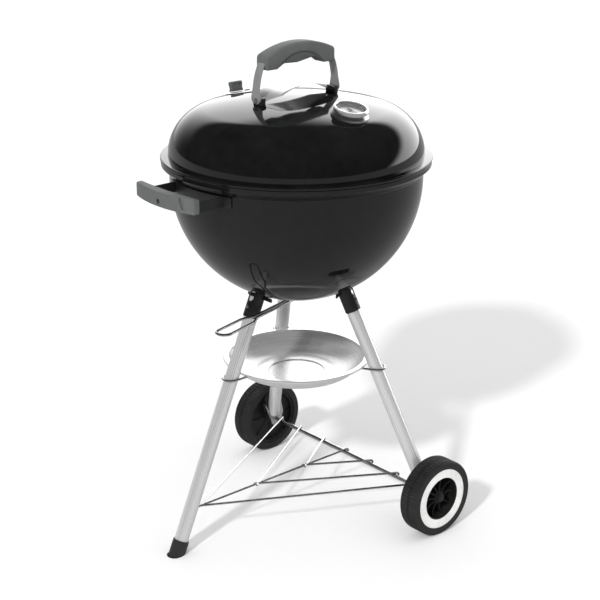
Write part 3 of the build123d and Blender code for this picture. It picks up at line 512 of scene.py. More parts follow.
def lidProfile(s):  # crown arc, shoulder arc, wall and rim outside, then the same arcs a sheet inside
    reach = s["radius"] - s["knuckle"]
    meet = math.atan2(s["wall"] - crownZ, reach)
    top, side = np.linspace(math.pi / 2, meet, 40), np.linspace(meet, 0, 34)[1:]
    skins = [np.concatenate([np.stack([(crown - d) * np.cos(top), crownZ + (crown - d) * np.sin(top)], -1),
                             np.stack([reach + (s["knuckle"] - d) * np.cos(side),
                                       s["wall"] + (s["knuckle"] - d) * np.sin(side)], -1)])
             for d in (0, s["sheet"])]
    inner = s["radius"] - s["sheet"]
    rim = rounded([skins[0][-1], (s["radius"], s["rimHigh"]), (s["rim"], s["rimHigh"]), (s["rim"], s["rimLow"]),
                   (inner, s["rimLow"]), skins[1][-1]], [0, 0.8, 2.3, 2.3, 0.3, 0], closed=False)
    return np.concatenate([skins[0][:-1], rim, skins[1][-2::-1]])


damperPlace, gaugePlace = domePlace(135.0, 180), domePlace(138.0, 0)


def discs(radius, reach, count, first, low, high, place, steps=24):  # upright round bars on a circle
    turns = math.radians(first) + np.arange(count) * 2 * np.pi / count
    spots = [(reach * np.cos(a), reach * np.sin(a)) for a in turns]
    bar = [(0, low), (radius, low), (radius, high), (0, high)]
    return [spun(bar, steps, (place[0] + np.array([x, y, 0]) @ place[1], place[1]), closed=False) for x, y in spots]


def buildLid(s):
    lid = addPiece("lidShell", [spun(lidProfile(s), 160, closed=False)], enamel, "lid", "enamel", "lid", sharp=40)
    drill(lid, discs(s["vent"], s["ventReach"], 4, 45, -12, 12, damperPlace)
          + discs(s["stem"], 0, 1, 0, -12, 12, gaugePlace), 40)
    return lid


buildLid(lidSizes)
print("lid")

# Damper, its knob and its rivet

damperSizes = {"radius": 41.0, "lift": 0.4, "sheet": 1.6, "hole": 8.0, "holeReach": 24.0, "bead": 0.55,
               "knobHalf": (6.0, 14.0), "knobAt": 34.0, "knobLow": 2.0, "knobHigh": 20.05, "dimple": 3.4}
damperMetal = spunMetal("damper aluminium", (0.70, 0.70, 0.69), (0.60, 0.60, 0.60), 0.30,
                        centre=tuple(damperPlace[0] * mm), turn=(0, -math.asin(135.0 / crown), 0), scale=500.0)


def buildDamper(s):
    # the disc lies on the crown: h = sqrt(R^2 - r^2) - R, lifted; the edge is turned up in a small bead
    r = np.concatenate([np.linspace(0, s["radius"] - 3, 16), s["radius"] - 3 + 3 * np.sin(np.linspace(0.2, 1.57, 6))])
    low = np.sqrt((crown + s["lift"]) ** 2 - r ** 2) - crown
    high = low + s["sheet"] + s["bead"] * np.exp(-((r - s["radius"] + 2.6) / 1.1) ** 2) - s["bead"]
    low[-1] += 0.3
    high[-1] -= 0.5
    profile = np.concatenate([np.stack([r, low], -1), np.stack([r, high], -1)[::-1]])
    disc = addPiece("damperDisc", [spun(profile, 96, damperPlace, closed=False)], damperMetal, "damper",
                    "brushed_steel", "lid_damper")
    drill(disc, discs(s["hole"], s["holeReach"], 4, 0, -6, 8, damperPlace))
    soften(disc, 0.25, 1)
    wide, tall = s["knobHalf"]
    spot = (damperPlace[0] + np.array([s["knobAt"], 0, 0]) @ damperPlace[1], damperPlace[1])
    outline = rounded([(-wide, -tall), (wide, -tall), (wide, tall), (-wide, tall)], 4.2)
    waist = [(0.6, s["knobLow"]), (0.0, s["knobLow"] + 1.0), (1.3, s["knobLow"] + 6.0), (0.4, s["knobHigh"] - 7.0)]
    t = np.linspace(0, math.pi / 2, 6)
    dome = np.stack([0.1 + 3.0 * (1 - np.cos(t)), s["knobHigh"] - 3.0 + 3.0 * np.sin(t)], -1)
    knob = addPiece("damperKnob", [slab(outline, np.concatenate([waist, dome]), spot)], gripNylon, "damper",
                    "grip_nylon", "damper_knob", sharp=50)
    dimples = []
    for side in (-1, 1):  # two thumb dimples in each long face
        for y in (-6.0, 6.0):
            centre = spot[0] + np.array([side * (wide + 1.6), y, s["knobHigh"] - 6.5]) @ spot[1]
            a = np.linspace(0, math.pi, 13)
            ball = np.stack([s["dimple"] * np.sin(a), -s["dimple"] * np.cos(a)], -1)
            dimples.append(spun(ball, 20, (centre, spot[1]), closed=False))
    drill(knob, dimples, 50)
    head = [(0, 1.6), (6, 1.6), (6, 2.4), (5.2, 3.3), (3.4, 3.8), (0, 3.95)]
    tail = [(0, -3.6), (4.4, -3.4), (5, -2.6), (5, -1.8), (3, -1.8), (3, 1.7), (0, 1.7)]
    addPiece("damperRivet", [spun(head, 32, damperPlace, closed=False), spun(tail, 32, damperPlace, closed=False)],
             platedSteel, "lid", "plated_steel", "damper_rivet")


buildDamper(damperSizes)
print("damper")

# Thermometer

gaugeSizes = {"base": 33.0, "neck": 29.0, "height": 13.0, "bezelOuter": 31.0, "bezelInner": 26.0, "bezelTop": 16.0,
              "dial": 27.3, "ticks": 40, "firstTick": -45.0, "sweep": 270.0}
gaugeTurn = (0, math.asin(138.0 / crown), 0)
caseMetal = spunMetal("gauge case steel", (0.62, 0.62, 0.61), (0.34, 0.34, 0.34), 0.27, tuple(gaugePlace[0] * mm),
                      gaugeTurn, scale=900.0, depth=0.2)
dialFace = spunMetal("dial aluminium", (0.50, 0.51, 0.51), (0.40, 0.41, 0.41), 0.36, tuple(gaugePlace[0] * mm),
                     gaugeTurn, scale=1500.0)


def gaugeBar(turn, inner, outer, half, low, high):  # a flat bar pointing from the dial's centre
    a = math.radians(turn)
    along = np.array([math.cos(a), math.sin(a), 0]) @ gaugePlace[1]
    return slab([(inner, -half), (outer, -half), (outer, half), (inner, half)], [(0, low), (0, high)],
                (gaugePlace[0], axes(gaugePlace[1][2], along)))


def buildGauge(s):
    seat = math.sqrt((crown + 0.05) ** 2 - s["base"] ** 2) - crown
    case = [(4.1, 0.05), (s["base"], seat)] + rounded(
        [(s["base"], seat), (s["base"], seat + 3.2), (s["neck"] + 0.6, s["height"] - 4.5),
         (s["neck"] + 0.4, s["height"]), (27.5, s["height"])], [0, 1.6, 2.0, 0.4, 0], closed=False).tolist()[1:]
    case += [(27.5, 3.2), (4.1, 3.2)]
    addPiece("gaugeCase", [spun(case, 96, gaugePlace)], caseMetal, "lid", "brushed_steel", "thermometer_case")
    bezel = rounded([(s["bezelInner"], s["height"]), (s["bezelOuter"] - 0.6, s["height"]),
                     (s["bezelOuter"], s["height"] + 0.8), (s["bezelOuter"] - 1.6, s["bezelTop"]),
                     (s["bezelInner"] + 0.9, s["bezelTop"]), (s["bezelInner"], s["bezelTop"] - 1.4)],
                    [0.2, 0.4, 0.5, 0.9, 0.6, 0.4])
    addPiece("gaugeBezel", [spun(bezel, 96, gaugePlace)], polished, "lid", "brushed_steel", "thermometer_bezel")
    face = rounded([(1.7, 8.5), (s["dial"], 8.5), (s["dial"], 9.4), (s["dial"] - 0.6, 9.4), (s["dial"] - 1.4, 9.1),
                    (8.0, 9.1), (7.6, 9.4), (1.7, 9.4)], 0.1)
    addPiece("gaugeDial", [spun(face, 72, gaugePlace)], dialFace, "lid", "dial", "thermometer_dial")
    turns = s["firstTick"] - 90 + np.linspace(0, s["sweep"], s["ticks"] + 1)
    marks = [gaugeBar(a, 21.0 if k % 5 else 18.5, 24.5, 0.22 if k % 5 else 0.4, 9.0, 9.32)
             for k, a in enumerate(turns)]
    addPiece("gaugeMarks", marks, needleBlack, "lid", "dial")
    lens = rounded([(0, 13.6), (25.9, 13.6), (25.9, 14.6), (24.9, 15.2), (0, 15.2)], [0, 0.2, 0.4, 0.4, 0],
                   closed=False)
    addPiece("gaugeGlass", [spun(lens, 64, gaugePlace, closed=False)], glass, "lid", "glass", "thermometer_glass")
    pointer = [slab([(-9, -1.2), (-6, -1.2), (23, -0.35), (23, 0.35), (-6, 1.2), (-9, 1.2)], [(0, 10.3), (0, 11.1)],
                    gaugePlace),
               spun(rounded([(0, 7.0), (1.5, 7.0), (1.5, 10.2), (3, 10.2), (3, 11.2), (0, 11.2)], [0, 0, 0, 0.1, 0.5, 0],
                            closed=False), 24, gaugePlace, closed=False)]
    addPiece("gaugePointer", pointer, needleBlack, "needle", "needle", "thermometer_needle")


buildGauge(gaugeSizes)
print("thermometer")

# Lid handle

handleSizes = {"halfLength": 79.0, "endTop": 882.0, "middleTop": 900.0, "low": 858.0, "archHalf": 54.0,
               "archTop": 882.0, "halfWidth": 15.0, "round": 5.0, "footRound": 3.0, "ribPitch": 3.1, "ribDepth": 0.85,
               "lugAt": 84.0, "lugTop": 811.0, "screwZ": 806.5, "strapSheet": 2.6, "strapHead": 872.0,
               "shieldEnd": 78.45, "shieldLow": 806.0, "shieldTop": 829.0, "shieldHalf": 33.0}


def buildGrip(s):
    # the cover: rings in XZ along Y between two arcs z = top - radius + sqrt(radius^2 - y^2), the lower one cut off
    # at the flat feet; towards each end the rings draw in by round (1 - cos t) while y grows by round sin t
    inner, t = s["halfLength"] - s["round"], np.linspace(0, math.pi / 2, 8)
    tips, drawIn = inner + s["round"] * np.sin(t), s["round"] * (1 - np.cos(t))
    middle = np.arange(-inner + 1, inner)
    y = np.concatenate([-tips[::-1], middle, tips])
    inset = np.concatenate([drawIn[::-1], np.zeros(len(middle)), drawIn])
    backRadius = (s["halfLength"] ** 2 + (s["middleTop"] - s["endTop"]) ** 2) / (2 * (s["middleTop"] - s["endTop"]))
    archRadius = (s["archHalf"] ** 2 + (s["archTop"] - s["low"]) ** 2) / (2 * (s["archTop"] - s["low"]))
    top = s["middleTop"] - backRadius + np.sqrt(backRadius ** 2 - y ** 2) - inset
    arched = s["archTop"] - archRadius + np.sqrt(np.maximum(archRadius ** 2 - y ** 2, 0))
    bottom = np.where(np.abs(y) < s["archHalf"], arched, s["low"] + inset)
    turn = np.radians(np.concatenate([first - np.linspace(0, 90, 6) for first in (270, 180, 90, 0)]))
    side, upper = np.repeat([-1.0, -1.0, 1.0, 1.0], 6), np.repeat([False, True, True, False], 6)
    corner = np.where(upper[None], np.maximum(s["round"] - 0.8 * inset, 1)[:, None],
                      np.maximum(s["footRound"] - 0.4 * inset, 1)[:, None])
    x = side * ((s["halfWidth"] - inset)[:, None] - corner) + corner * np.cos(turn)
    z = np.where(upper[None], top[:, None] - corner, bottom[:, None] + corner) + corner * np.sin(turn)
    addPiece("gripCover", [skin(np.stack([x, np.repeat(y[:, None], 24, 1), z], -1), caps=True)],
             gripNylon, "lid", "grip_nylon", "lid_grip_cover", sharp=40)
    # the insert: rings in XZ between z = broken line + ribDepth (1 - |sin(pi y / ribPitch)|) and the cover's arch
    y = np.linspace(-53.0, 53.0, 420)
    low = np.interp(y, [-53.5, -38, -8, 34, 53.5], [858.6, 866.2, 864.8, 871.6, 858.6])
    ribs = s["ribDepth"] * (1 - np.abs(np.sin(math.pi * y / s["ribPitch"])))
    high = s["archTop"] - archRadius + np.sqrt(archRadius ** 2 - y ** 2) - 0.15
    high = np.maximum(high, low + 0.9)
    share = np.array([0.0, 0.06, 0.94, 1.0, 1.0, 0.94, 0.06, 0.0])[None]
    side = np.array([-1, -1, -1, -1, 1, 1, 1, 1.0])[None] * (13.4 - 0.5 * np.array([1, 0, 0, 1, 1, 0, 0, 1.0])[None])
    side = side - np.sign(side) * ribs[:, None] * (np.array([0, 1, 1, 0, 0, 1, 1, 0.0])[None])
    rise = (low + ribs)[:, None] * (1 - share) + high[:, None] * share
    grid = np.stack([side, np.repeat(y[:, None], 8, 1), rise], -1)
    # the insert takes the darker nylon copy, which paints the shade under the arch
    addPiece("gripInsert", [skin(grid, caps=True)], insertNylonPaintedShade, "lid", "grip_nylon", "lid_grip_insert", sharp=40)


def buildStrap(s, name, side):
    # a bent strap: the path rises from the foot and leans in; its half width falls from 12.5 to 9
    foot, belly, head = s["lugAt"] + 5.55, s["lugAt"] + 2.5, 75.0
    path = np.concatenate([line((foot, 801), (foot, 813.5), 14),
                           arc((foot, 814), (belly, 843), (head, s["strapHead"]), 40)])
    tangent = np.gradient(path, axis=0)
    tangent = tangent / np.linalg.norm(tangent, axis=1, keepdims=True)
    out = np.stack([tangent[:, 1], -tangent[:, 0]], -1)
    half = np.interp(path[:, 1], [801, 812, 828, 900], [12.5, 12.5, 9.0, 9.0])
    half = np.where(path[:, 1] < 811, np.sqrt(np.maximum(1 - ((811 - path[:, 1]) / 10.4) ** 2, 0.02)) * 12.5, half)
    corner = 0.55
    across = np.array([-1, -1, -1, 1, 1, 1, 1, -1], float)
    inset = np.array([0, 0, 1, 1, 0, 0, 1, 1], float) * corner
    rise = np.array([s["strapSheet"] - corner, corner, 0, 0, corner, s["strapSheet"] - corner, s["strapSheet"],
                     s["strapSheet"]])
    x = across[None] * (half[:, None] - inset[None])
    y = path[:, :1] + out[:, :1] * rise
    z = path[:, 1:] + out[:, 1:] * rise
    grid = np.stack([x, side * y, z], -1)
    return addPiece("handleStrap" + name, [skin(grid, caps=True)], strapMetal, "lid", "strap_steel",
                    "lid_strap_" + name.lower(), sharp=50)


def buildHandle(s):
    buildGrip(s)
    lugs, screws = [], []
    for name, side in (("Front", -1), ("Rear", 1)):
        buildStrap(s, name, side)
        outline = rounded([(-12, -5.5), (12, -5.5), (12, 5.5), (-12, 5.5)], 3)
        lugs.append(slab(outline, [(0, 798.3), (0, s["lugTop"] - 2.2), (0.6, s["lugTop"] - 0.7), (2.0, s["lugTop"])],
                         (np.array([0, side * s["lugAt"], 0]), np.eye(3))))
        spot = (np.array([0, side * s["lugAt"], s["screwZ"]]), axes((0, side, 0), (1, 0, 0)))
        head = rounded([(0, 5.6), (2.4, 5.6), (2.4, 8.3), (4.6, 8.3), (4.6, 9.4), (3.4, 10.6), (2.2, 10.7), (1.9, 9.8),
                        (0, 9.8)], [0, 0, 0, 0.1, 0.8, 0.4, 0.2, 0, 0], closed=False)
        screws.append(spun(head, 28, spot, closed=False))
    addPiece("handleLugs", lugs, bracketBlack, "lid", "black_bracket", "lid_handle_lugs")
    addPiece("handleScrews", screws, platedSteel, "lid", "plated_steel", "lid_handle_screws")
    # the shield: z is an arc along Y, the width narrows to the ends, and both long edges are turned down a little
    arch = arc((-s["shieldEnd"], s["shieldLow"]), (0, s["shieldTop"]), (s["shieldEnd"], s["shieldLow"]), 48)
    half = np.interp(np.abs(arch[:, 0]), [0, 60, 70, 80], [s["shieldHalf"], s["shieldHalf"], 22.5, 11.5])
    v = np.linspace(-1, 1, 25)
    x = half[:, None] * v[None]
    fall = 0.55 * np.clip((np.abs(x) - s["shieldHalf"] + 3) / 3, 0, 1) ** 2
    top = np.stack([x, np.repeat(arch[:, :1], 25, 1), arch[:, 1:] + 1.0 - fall], -1)
    under = np.stack([x, np.repeat(arch[:, :1], 25, 1), np.repeat(arch[:, 1:], 25, 1)], -1)
    grid = np.concatenate([top, under[:, ::-1]], 1)
    shield = addPiece("heatShield", [skin(grid, caps=True)], polished, "lid", "polished_steel", "heat_shield",
                      sharp=50)
    drill(shield, [spun([(0, -4), (1.8, -4), (1.8, 8), (0, 8)], 20, (np.array([0, side * 73.5, 808.0]), np.eye(3)),
                        closed=False) for side in (-1, 1)], 50)


buildHandle(handleSizes)
print("lid handle")

# Side handle

sideSizes = {"half": 81.0, "low": 657.0, "high": 683.0, "faceEnd": 290.0, "face": 303.5, "backEnd": 277.0,
             "back": 282.0, "round": 3.6, "screwZ": 667.0,
             "notch": ((49.0, 684.0), (69.0, 684.0), (65.5, 663.5), (56.0, 663.5))}


def buildSideGrip(s):  # outline in XY between two bowed arcs, thick along Z with round rims
    face = arc((-s["half"], -s["faceEnd"]), (0, -s["face"]), (s["half"], -s["faceEnd"]), 40)
    back = arc((s["half"], -s["backEnd"]), (0, -s["back"]), (-s["half"], -s["backEnd"]), 30)
    corners = np.concatenate([face, back])
    radii = np.zeros(len(corners))
    radii[[0, 39, 40, 69]] = 5.0
    grip = addPiece("sideGrip", [slab(rounded(corners, radii, 6), softLayers(s["low"], s["high"], s["round"], 6))],
                    gripNylon, "bowl_and_stand", "grip_nylon", "side_grip", sharp=55)
    well = (np.array([0, -s["face"], s["screwZ"]]), axes((0, 1, 0), (1, 0, 0)))
    notch = (np.array([0, -s["face"], 0]), np.array([[1.0, 0, 0], [0, 0, 1.0], [0, -1.0, 0]]))
    drill(grip, [spun([(0, -2), (4.6, -2), (4.6, 7.9), (0, 7.9)], 28, well, closed=False),
                 slab(s["notch"], [(0, -9.0), (0, 4.0)], notch)], 55)
    soften(grip, 0.5, 2)
    screw = rounded([(0, 7.9), (4.4, 7.9), (4.4, 5.4), (3.4, 4.6), (2.0, 4.5), (1.7, 5.4), (0, 5.4)],
                    [0, 0.1, 0.7, 0.5, 0.2, 0, 0], closed=False)
    addPiece("sideGripScrew", [spun(screw, 28, well, closed=False)], bracketBlack, "bowl_and_stand", "plated_steel",
             "side_grip_screw")


buildSideGrip(sideSizes)
print("side handle")

# Legs, foot cap and the pan's clips

legSizes = {"reach": 288.0, "slope": 0.4303, "radius": 12.7, "wall": 1.2, "top": 490.0, "frontLow": 6.0,
            "wheelLow": 88.0, "angles": {"front": -90.0, "right": 30.0, "left": 150.0}}


def legPlace(angle):  # origin at the leg axis on the floor, z up the leg, -y away from the bowl
    up = np.array([0, 0, math.cos(legTilt)]) - unit(angle) * math.sin(legTilt)
    return unit(angle) * legSizes["reach"], axes(up, unit(angle + 90))


def buildLeg(s, name, angle):
    low = s["frontLow"] if name == "front" else s["wheelLow"] / math.cos(legTilt)
    outer, inner = s["radius"], s["radius"] - s["wall"]
    profile = rounded([(inner, low), (outer, low), (outer, s["top"]), (inner, s["top"])], 0.35)
    leg = addPiece("leg" + name.title(), [spun(profile, 64, legPlace(angle))], legMetal(name, angle), "bowl_and_stand",
                   "leg_aluminium", "leg_" + name)
    return leg


for name, angle in legSizes["angles"].items():
    buildLeg(legSizes, name, angle)

footSizes = {"outer": 14.9, "high": 27.0, "bore": 12.75, "bead": 0.5}


def buildFoot(s):  # a cup spun about the leg, its rings below the floor laid flat on it: z = max(z, 0)
    profile = rounded([(0, -14), (s["outer"], -14), (s["outer"], s["high"] - 5), (s["outer"] - 0.5, s["high"] - 4.2),
                       (s["outer"] - 0.5, s["high"] - 3.4), (s["outer"], s["high"] - 2.6), (s["outer"], s["high"]),
                       (s["bore"], s["high"]), (s["bore"], 6), (0, 6)],
                      [0, 0.5, 0.2, 0.2, 0.2, 0.2, 1.0, 0.2, 0, 0], closed=False)
    tall = np.linspace(0, 1, 12)[1:-1, None]
    wallStart = int(np.argmax(profile[:, 1] > -13))
    side = profile[wallStart - 1] + (profile[wallStart] - profile[wallStart - 1]) * tall
    profile = np.concatenate([profile[:wallStart], side, profile[wallStart:]])
    points, faces = spun(profile, 64, legPlace(-90.0), closed=False)
    points[:, 2] = np.maximum(points[:, 2], 0.0)
    addPiece("footCap", [(points, faces)], blackPlastic, "bowl_and_stand", "black_plastic", "foot_cap")


buildFoot(footSizes)

clipSizes = {"wire": 2.0, "z": 309.95, "half": 15.0, "arm": -25.0}


def buildClip(s, name, angle):
    reach = legSizes["reach"] - legSizes["slope"] * s["z"]
    bend = arc((2, -s["half"]), (2 + s["half"], 0), (2, s["half"]), 22)
    flat = np.concatenate([line((s["arm"], -s["half"]), (0, -s["half"]), 4), bend,
                           line((0, s["half"]), (s["arm"], s["half"]), 4)])
    place = axes((0, 0, 1), unit(angle))
    path = np.c_[flat, np.zeros(len(flat))] @ place + unit(angle) * reach + np.array([0, 0, s["z"]])
    addPiece("panClip" + name.title(), [tube(path, s["wire"], (0, 0, 1))], plated, "bowl_and_stand", "plated_wire",
             "pan_clip_" + name)


for name, angle in legSizes["angles"].items():
    buildClip(clipSizes, name, angle)
print("legs")

# Ash pan

panSizes = {"rim": 137.0, "top": 316.0, "depth": 35.0, "sheet": 1.2, "well": 53.0, "step": 2.0}


def buildPan(s):  # flat middle with a small step, a curve up to the rim, and a rolled bead round it
    floor, sheet = s["top"] - s["depth"], s["sheet"]
    under = rounded([(0, floor), (s["well"], floor), (s["well"], floor + s["step"]), (70, floor + s["step"])],
                    [0, 0.9, 0.9, 0], closed=False)
    under = np.concatenate([under, arc((71, floor + 2.05), (110, floor + 12), (126.6, s["top"] - 4.6), 22)])
    bead = rounded([(127, s["top"] - 4), (s["rim"], s["top"] - 4), (s["rim"], s["top"]), (126.2, s["top"]),
                    (125.8, s["top"] - 4 + sheet)], [0.8, 1.9, 1.9, 1.2, 0.6], closed=False)
    inside = arc((125.2, s["top"] - 4.2), (109.4, floor + 12 + sheet), (70.5, floor + 2.0 + sheet), 22)
    middle = rounded([(69, floor + s["step"] + sheet), (s["well"] - sheet, floor + s["step"] + sheet),
                      (s["well"] - sheet, floor + sheet), (0, floor + sheet)], [0, 0.9, 0.9, 0], closed=False)
    addPiece("ashPan", [spun(np.concatenate([under, bead, inside, middle]), 160, closed=False)], panMetal,
             "bowl_and_stand", "pan_aluminium", "ash_pan", sharp=50)


buildPan(panSizes)
print("ash pan")

# Cleaning lever and bottom rack

leverSizes = {"turn": -75.0, "z": 429.0, "wire": 2.5, "bends": (30, 30, 13.9, 13.9, 30, 30)}


def buildLever(s):
    flat = rounded([(8, 4), (132, 4), (152, 14), (235, 14), (235, -14), (152, -14), (132, -4), (8, -4)],
                   (0, *s["bends"], 0), 10, closed=False)
    path = np.c_[flat, np.full(len(flat), s["z"])] @ axes((0, 0, 1), unit(s["turn"]))
    addPiece("cleaningLever", [tube(path, s["wire"], (0, 0, 1))], plated, "sweeper", "plated_wire", "cleaning_lever")
    hub = rounded([(0, 425.2), (11.5, 425.2), (11.5, 431.5), (8, 434.3), (6, 434.4), (6, 436.9), (5, 436.9), (5, 448),
                   (0, 448)], [0, 1.6, 2.5, 0.4, 0, 0, 0, 0.8, 0], closed=False)
    addPiece("sweeperHub", [spun(hub, 48, closed=False)], bracketBlack, "sweeper", "plated_steel", "sweeper_spindle")


rackSizes = {"wire": 2.0, "z": 78.5, "vees": ((-232.0, 200.0), (-96.0, 142.0), (24.0, 70.0)), "hook": 134.9,
             "drop": 10.0, "start": -246.8}


def buildRack(s):
    z, hook = s["z"], s["hook"]
    shells = []

    def rackWire(start, end):  # straight from start, then bent down over the axle
        start, end = np.array(start, float), np.array(end, float)
        out = (end - start) / np.linalg.norm(end - start)
        bend = rounded([start, end, end - np.array([0, 0, s["drop"]])], [0, 2.4, 0], 6, closed=False)
        normal = np.cross(out, (0, 0, 1.0))
        shells.append(tube(bend, s["wire"], normal, 10))

    rackWire((0, s["start"], z), (0, hook, z))
    for apex, half in s["vees"]:
        for side in (-1, 1):
            tail, end = np.array([0, apex, z]), np.array([side * half, hook, z])
            out = (end - tail) / np.linalg.norm(end - tail)
            rackWire(tail - out * (8 if apex > -200 else 0), end)
    addPiece("bottomRack", shells, plated, "bowl_and_stand", "plated_wire", "bottom_rack")


buildLever(leverSizes)
buildRack(rackSizes)
print("lever and rack")

# Wheels

axleAt = (0.0, (288.0 - 0.4303 * 72.5) * math.sin(math.radians(30.0)), 72.5)
wheelSizes = {"radius": 72.5, "bore": 58.0, "inner": 224.0, "outer": 264.0, "ribs": 72, "ribDepth": 1.7,
              "groove": 1.5, "dish": 41.0, "face": 262.0, "web": 238.0, "webInner": 235.0, "spokes": 10,
              "innerSpokes": 8, "barrel": 12.0}


def wheelPlace(side):
    return np.array(axleAt), axes((side, 0, 0), (0, 1, 0))


def buildTyre(s, name, side):
    # radius = profile - ribDepth wave(a) on the two rows of the tread, wave = clip(0.5 + 1.7 cos(ribs a), 0, 1)
    low, high, middle = s["inner"], s["outer"], (s["inner"] + s["outer"]) / 2
    half = rounded([(s["bore"], low), (70.5, low), (s["radius"], low + 3.4), (s["radius"], middle - 1.9)], [0.8, 3.0, 2.6, 0],
                   7, closed=False)
    rows = np.stack([np.full(7, s["radius"]), np.linspace(low + 6.5, middle - 2.3, 7)], -1)
    half = np.concatenate([line((s["bore"], low + 0.6), (s["bore"] + 0.4, low)), half[1:-1], rows,
                           [(s["radius"], middle - 1.9), (s["radius"] - s["groove"], middle - 1.5),
                            (s["radius"] - s["groove"], middle - 0.9), (s["radius"] - 0.5, middle - 0.5)]])
    mirror = half[::-1] * (1, -1) + (0, 2 * middle)
    profile = np.concatenate([half, mirror])
    steps = s["ribs"] * 6
    a = np.linspace(0, 2 * np.pi, steps, endpoint=False)
    wave = np.clip(0.5 + 1.7 * np.cos(s["ribs"] * a), 0, 1)
    fromMiddle = np.abs(profile[:, 1] - middle)
    onRow = (profile[:, 0] > s["radius"] - 0.9) & (fromMiddle > 2.1)
    r = profile[:, :1] - s["ribDepth"] * wave[None] * onRow[:, None]
    grid = np.stack([r * np.cos(a), r * np.sin(a), np.repeat(profile[:, 1:], steps, 1)], -1)
    place = wheelPlace(side)
    addPiece("tyre" + name, [skin(grid @ place[1] + place[0], closeRows=True)], rubber, "wheel_" + name.lower(),
             "tyre", "tyre_" + name.lower(), sharp=28)


def buildHub(s, name, side):
    place = wheelPlace(side)
    dish, face, web, back = s["dish"], s["face"], s["web"], s["webInner"]
    shell = rounded([(4.06, back - 3), (s["barrel"], back - 3), (s["barrel"], back), (52, back), (52, s["inner"] + 2),
                     (s["bore"], s["inner"] + 2), (s["bore"], face), (dish + 0.6, face), (dish - 1.4, face - 1.6),
                     (dish - 3.2, web + 1), (dish - 5, web), (s["barrel"], web), (s["barrel"] - 1.6, 256), (4.06, 256)],
                    [0.3, 0.8, 0.8, 1.5, 0.8, 0.5, 0.6, 0.7, 1.2, 1.0, 1.2, 1.5, 1.2, 0.3], 4)
    shells = [spun(shell, 96, place)]
    for count, outline, half in ((s["spokes"], [(10, web - 0.5), (38.5, web - 0.5), (38.8, 252.5), (30, 249.5), (20, 250.0),
                                                (10.2, 254.5)], 1.25),
                                 (s["innerSpokes"], [(10, back + 0.5), (53, back + 0.5), (53, back - 2.2),
                                                     (10, back - 2.2)], 1.0)):
        for k in range(count):
            a = 2 * math.pi * k / count
            along = np.array([math.cos(a), math.sin(a), 0]) @ place[1]
            up = place[1][2]
            shells.append(slab(outline, [(0.35, -half), (0, -half + 0.35), (0, half - 0.35), (0.35, half)],
                               (place[0], np.array([along, up, np.cross(along, up)]))))
    addPiece("wheelHub" + name, shells, hubPlastic, "wheel_" + name.lower(), "wheel_plastic",
             "wheel_hub_" + name.lower())
    band = rounded([(dish + 0.2, face - 0.2), (s["bore"] - 0.1, face - 0.2), (s["bore"] - 0.1, face + 1.15),
                    (dish + 0.2, face + 1.15)], [0, 0, 0.5, 0.5])
    addPiece("wheelBand" + name, [spun(band, 128, place)], bandWhite, "wheel_" + name.lower(), "white_band",
             "wheel_band_" + name.lower())
    cap = rounded([(0, 256.4), (8, 256.4), (8, 259.4), (6.2, 261.6), (2.6, 262.0), (0, 262.0)],
                  [0, 0.3, 1.4, 1.6, 0, 0], closed=False)
    addPiece("axleCap" + name, [spun(cap, 40, place, closed=False)], hubPlastic, "bowl_and_stand", "black_plastic",
             "axle_cap_" + name.lower())


for name, side in (("Left", -1), ("Right", 1)):
    buildTyre(wheelSizes, name, side)
    buildHub(wheelSizes, name, side)
print("wheels")

# CAD nodes that stay, each with its finish

keptFinishes = {
    bracketBlack: ["leg_socket_front", "leg_socket_right", "leg_socket_left", "handle_bracket"],
    platedSteel: ["axle_bracket_left", "axle_bracket_right", "leg_button_front", "leg_button_right",
                  "leg_button_left", "sweeper_nut", "sweeper_blades", "thermometer_stem", "thermometer_nut", "grate_rests"],
    blackPlastic: ["axle_hood_left", "axle_hood_right"],
    plated: ["cooking_grate", "charcoal_grate", "lid_hook", "axle"],
}
for finish, names in keptFinishes.items():
    for node in names:
        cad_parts[node].data.materials.clear()
        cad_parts[node].data.materials.append(finish)
print("CAD finishes")

# Floor, light and camera

floorSizes = {"half": 40.0, "colour": (0.93, 0.93, 0.93), "inGloss": 0.45}


def buildFloor(s):
    mesh = bpy.data.meshes.new("floor")
    h = s["half"]
    mesh.from_pydata([(-h, -h, 0), (h, -h, 0), (h, h, 0), (-h, h, 0)], [], [(0, 1, 2, 3)])
    floor = bpy.data.objects.new("floor", mesh)
    bpy.context.scene.collection.objects.link(floor)
    material, tree, shader = newMaterial("pale studio floor", Roughness=0.9, Specular_IOR_Level=0.1)
    mottle = useGroup(tree, "grain", placeOf(tree), Scale=3.0, Fine=12.0)
    tone = blendColour(tree, mottle, s["colour"], tuple(c + 0.01 for c in s["colour"]))
    # gloss sees the floor dimmer than the eye does, as it would the far, unlit part of a studio
    path = addNode(tree, "ShaderNodeLightPath")
    dim = blendColour(tree, path.outputs["Is Glossy Ray"], tone, (s["inGloss"],) * 3, 0.0, 1.0)
    tree.links.new(dim, shader.inputs["Base Color"])
    mesh.materials.append(material)


buildFloor(floorSizes)

lightSizes = {"key": {"turn": 21.3, "rise": 35.0, "spread": 4.5, "strength": 1.75},
              "sky": 0.86, "camera": 1.05, "backTurn": 228.98, "rise": 0.74, "edge": (-0.10, 0.12),
              "sides": (-0.90, 0.30), "glossBack": 3.4, "glossFront": 0.045}


def outFrom(turn, rise):  # unit vector towards a light, at a turn from -Y and a rise above the floor
    turn, rise = math.radians(turn), math.radians(rise)
    return np.array([math.sin(turn) * math.cos(rise), -math.cos(turn) * math.cos(rise), math.sin(rise)])


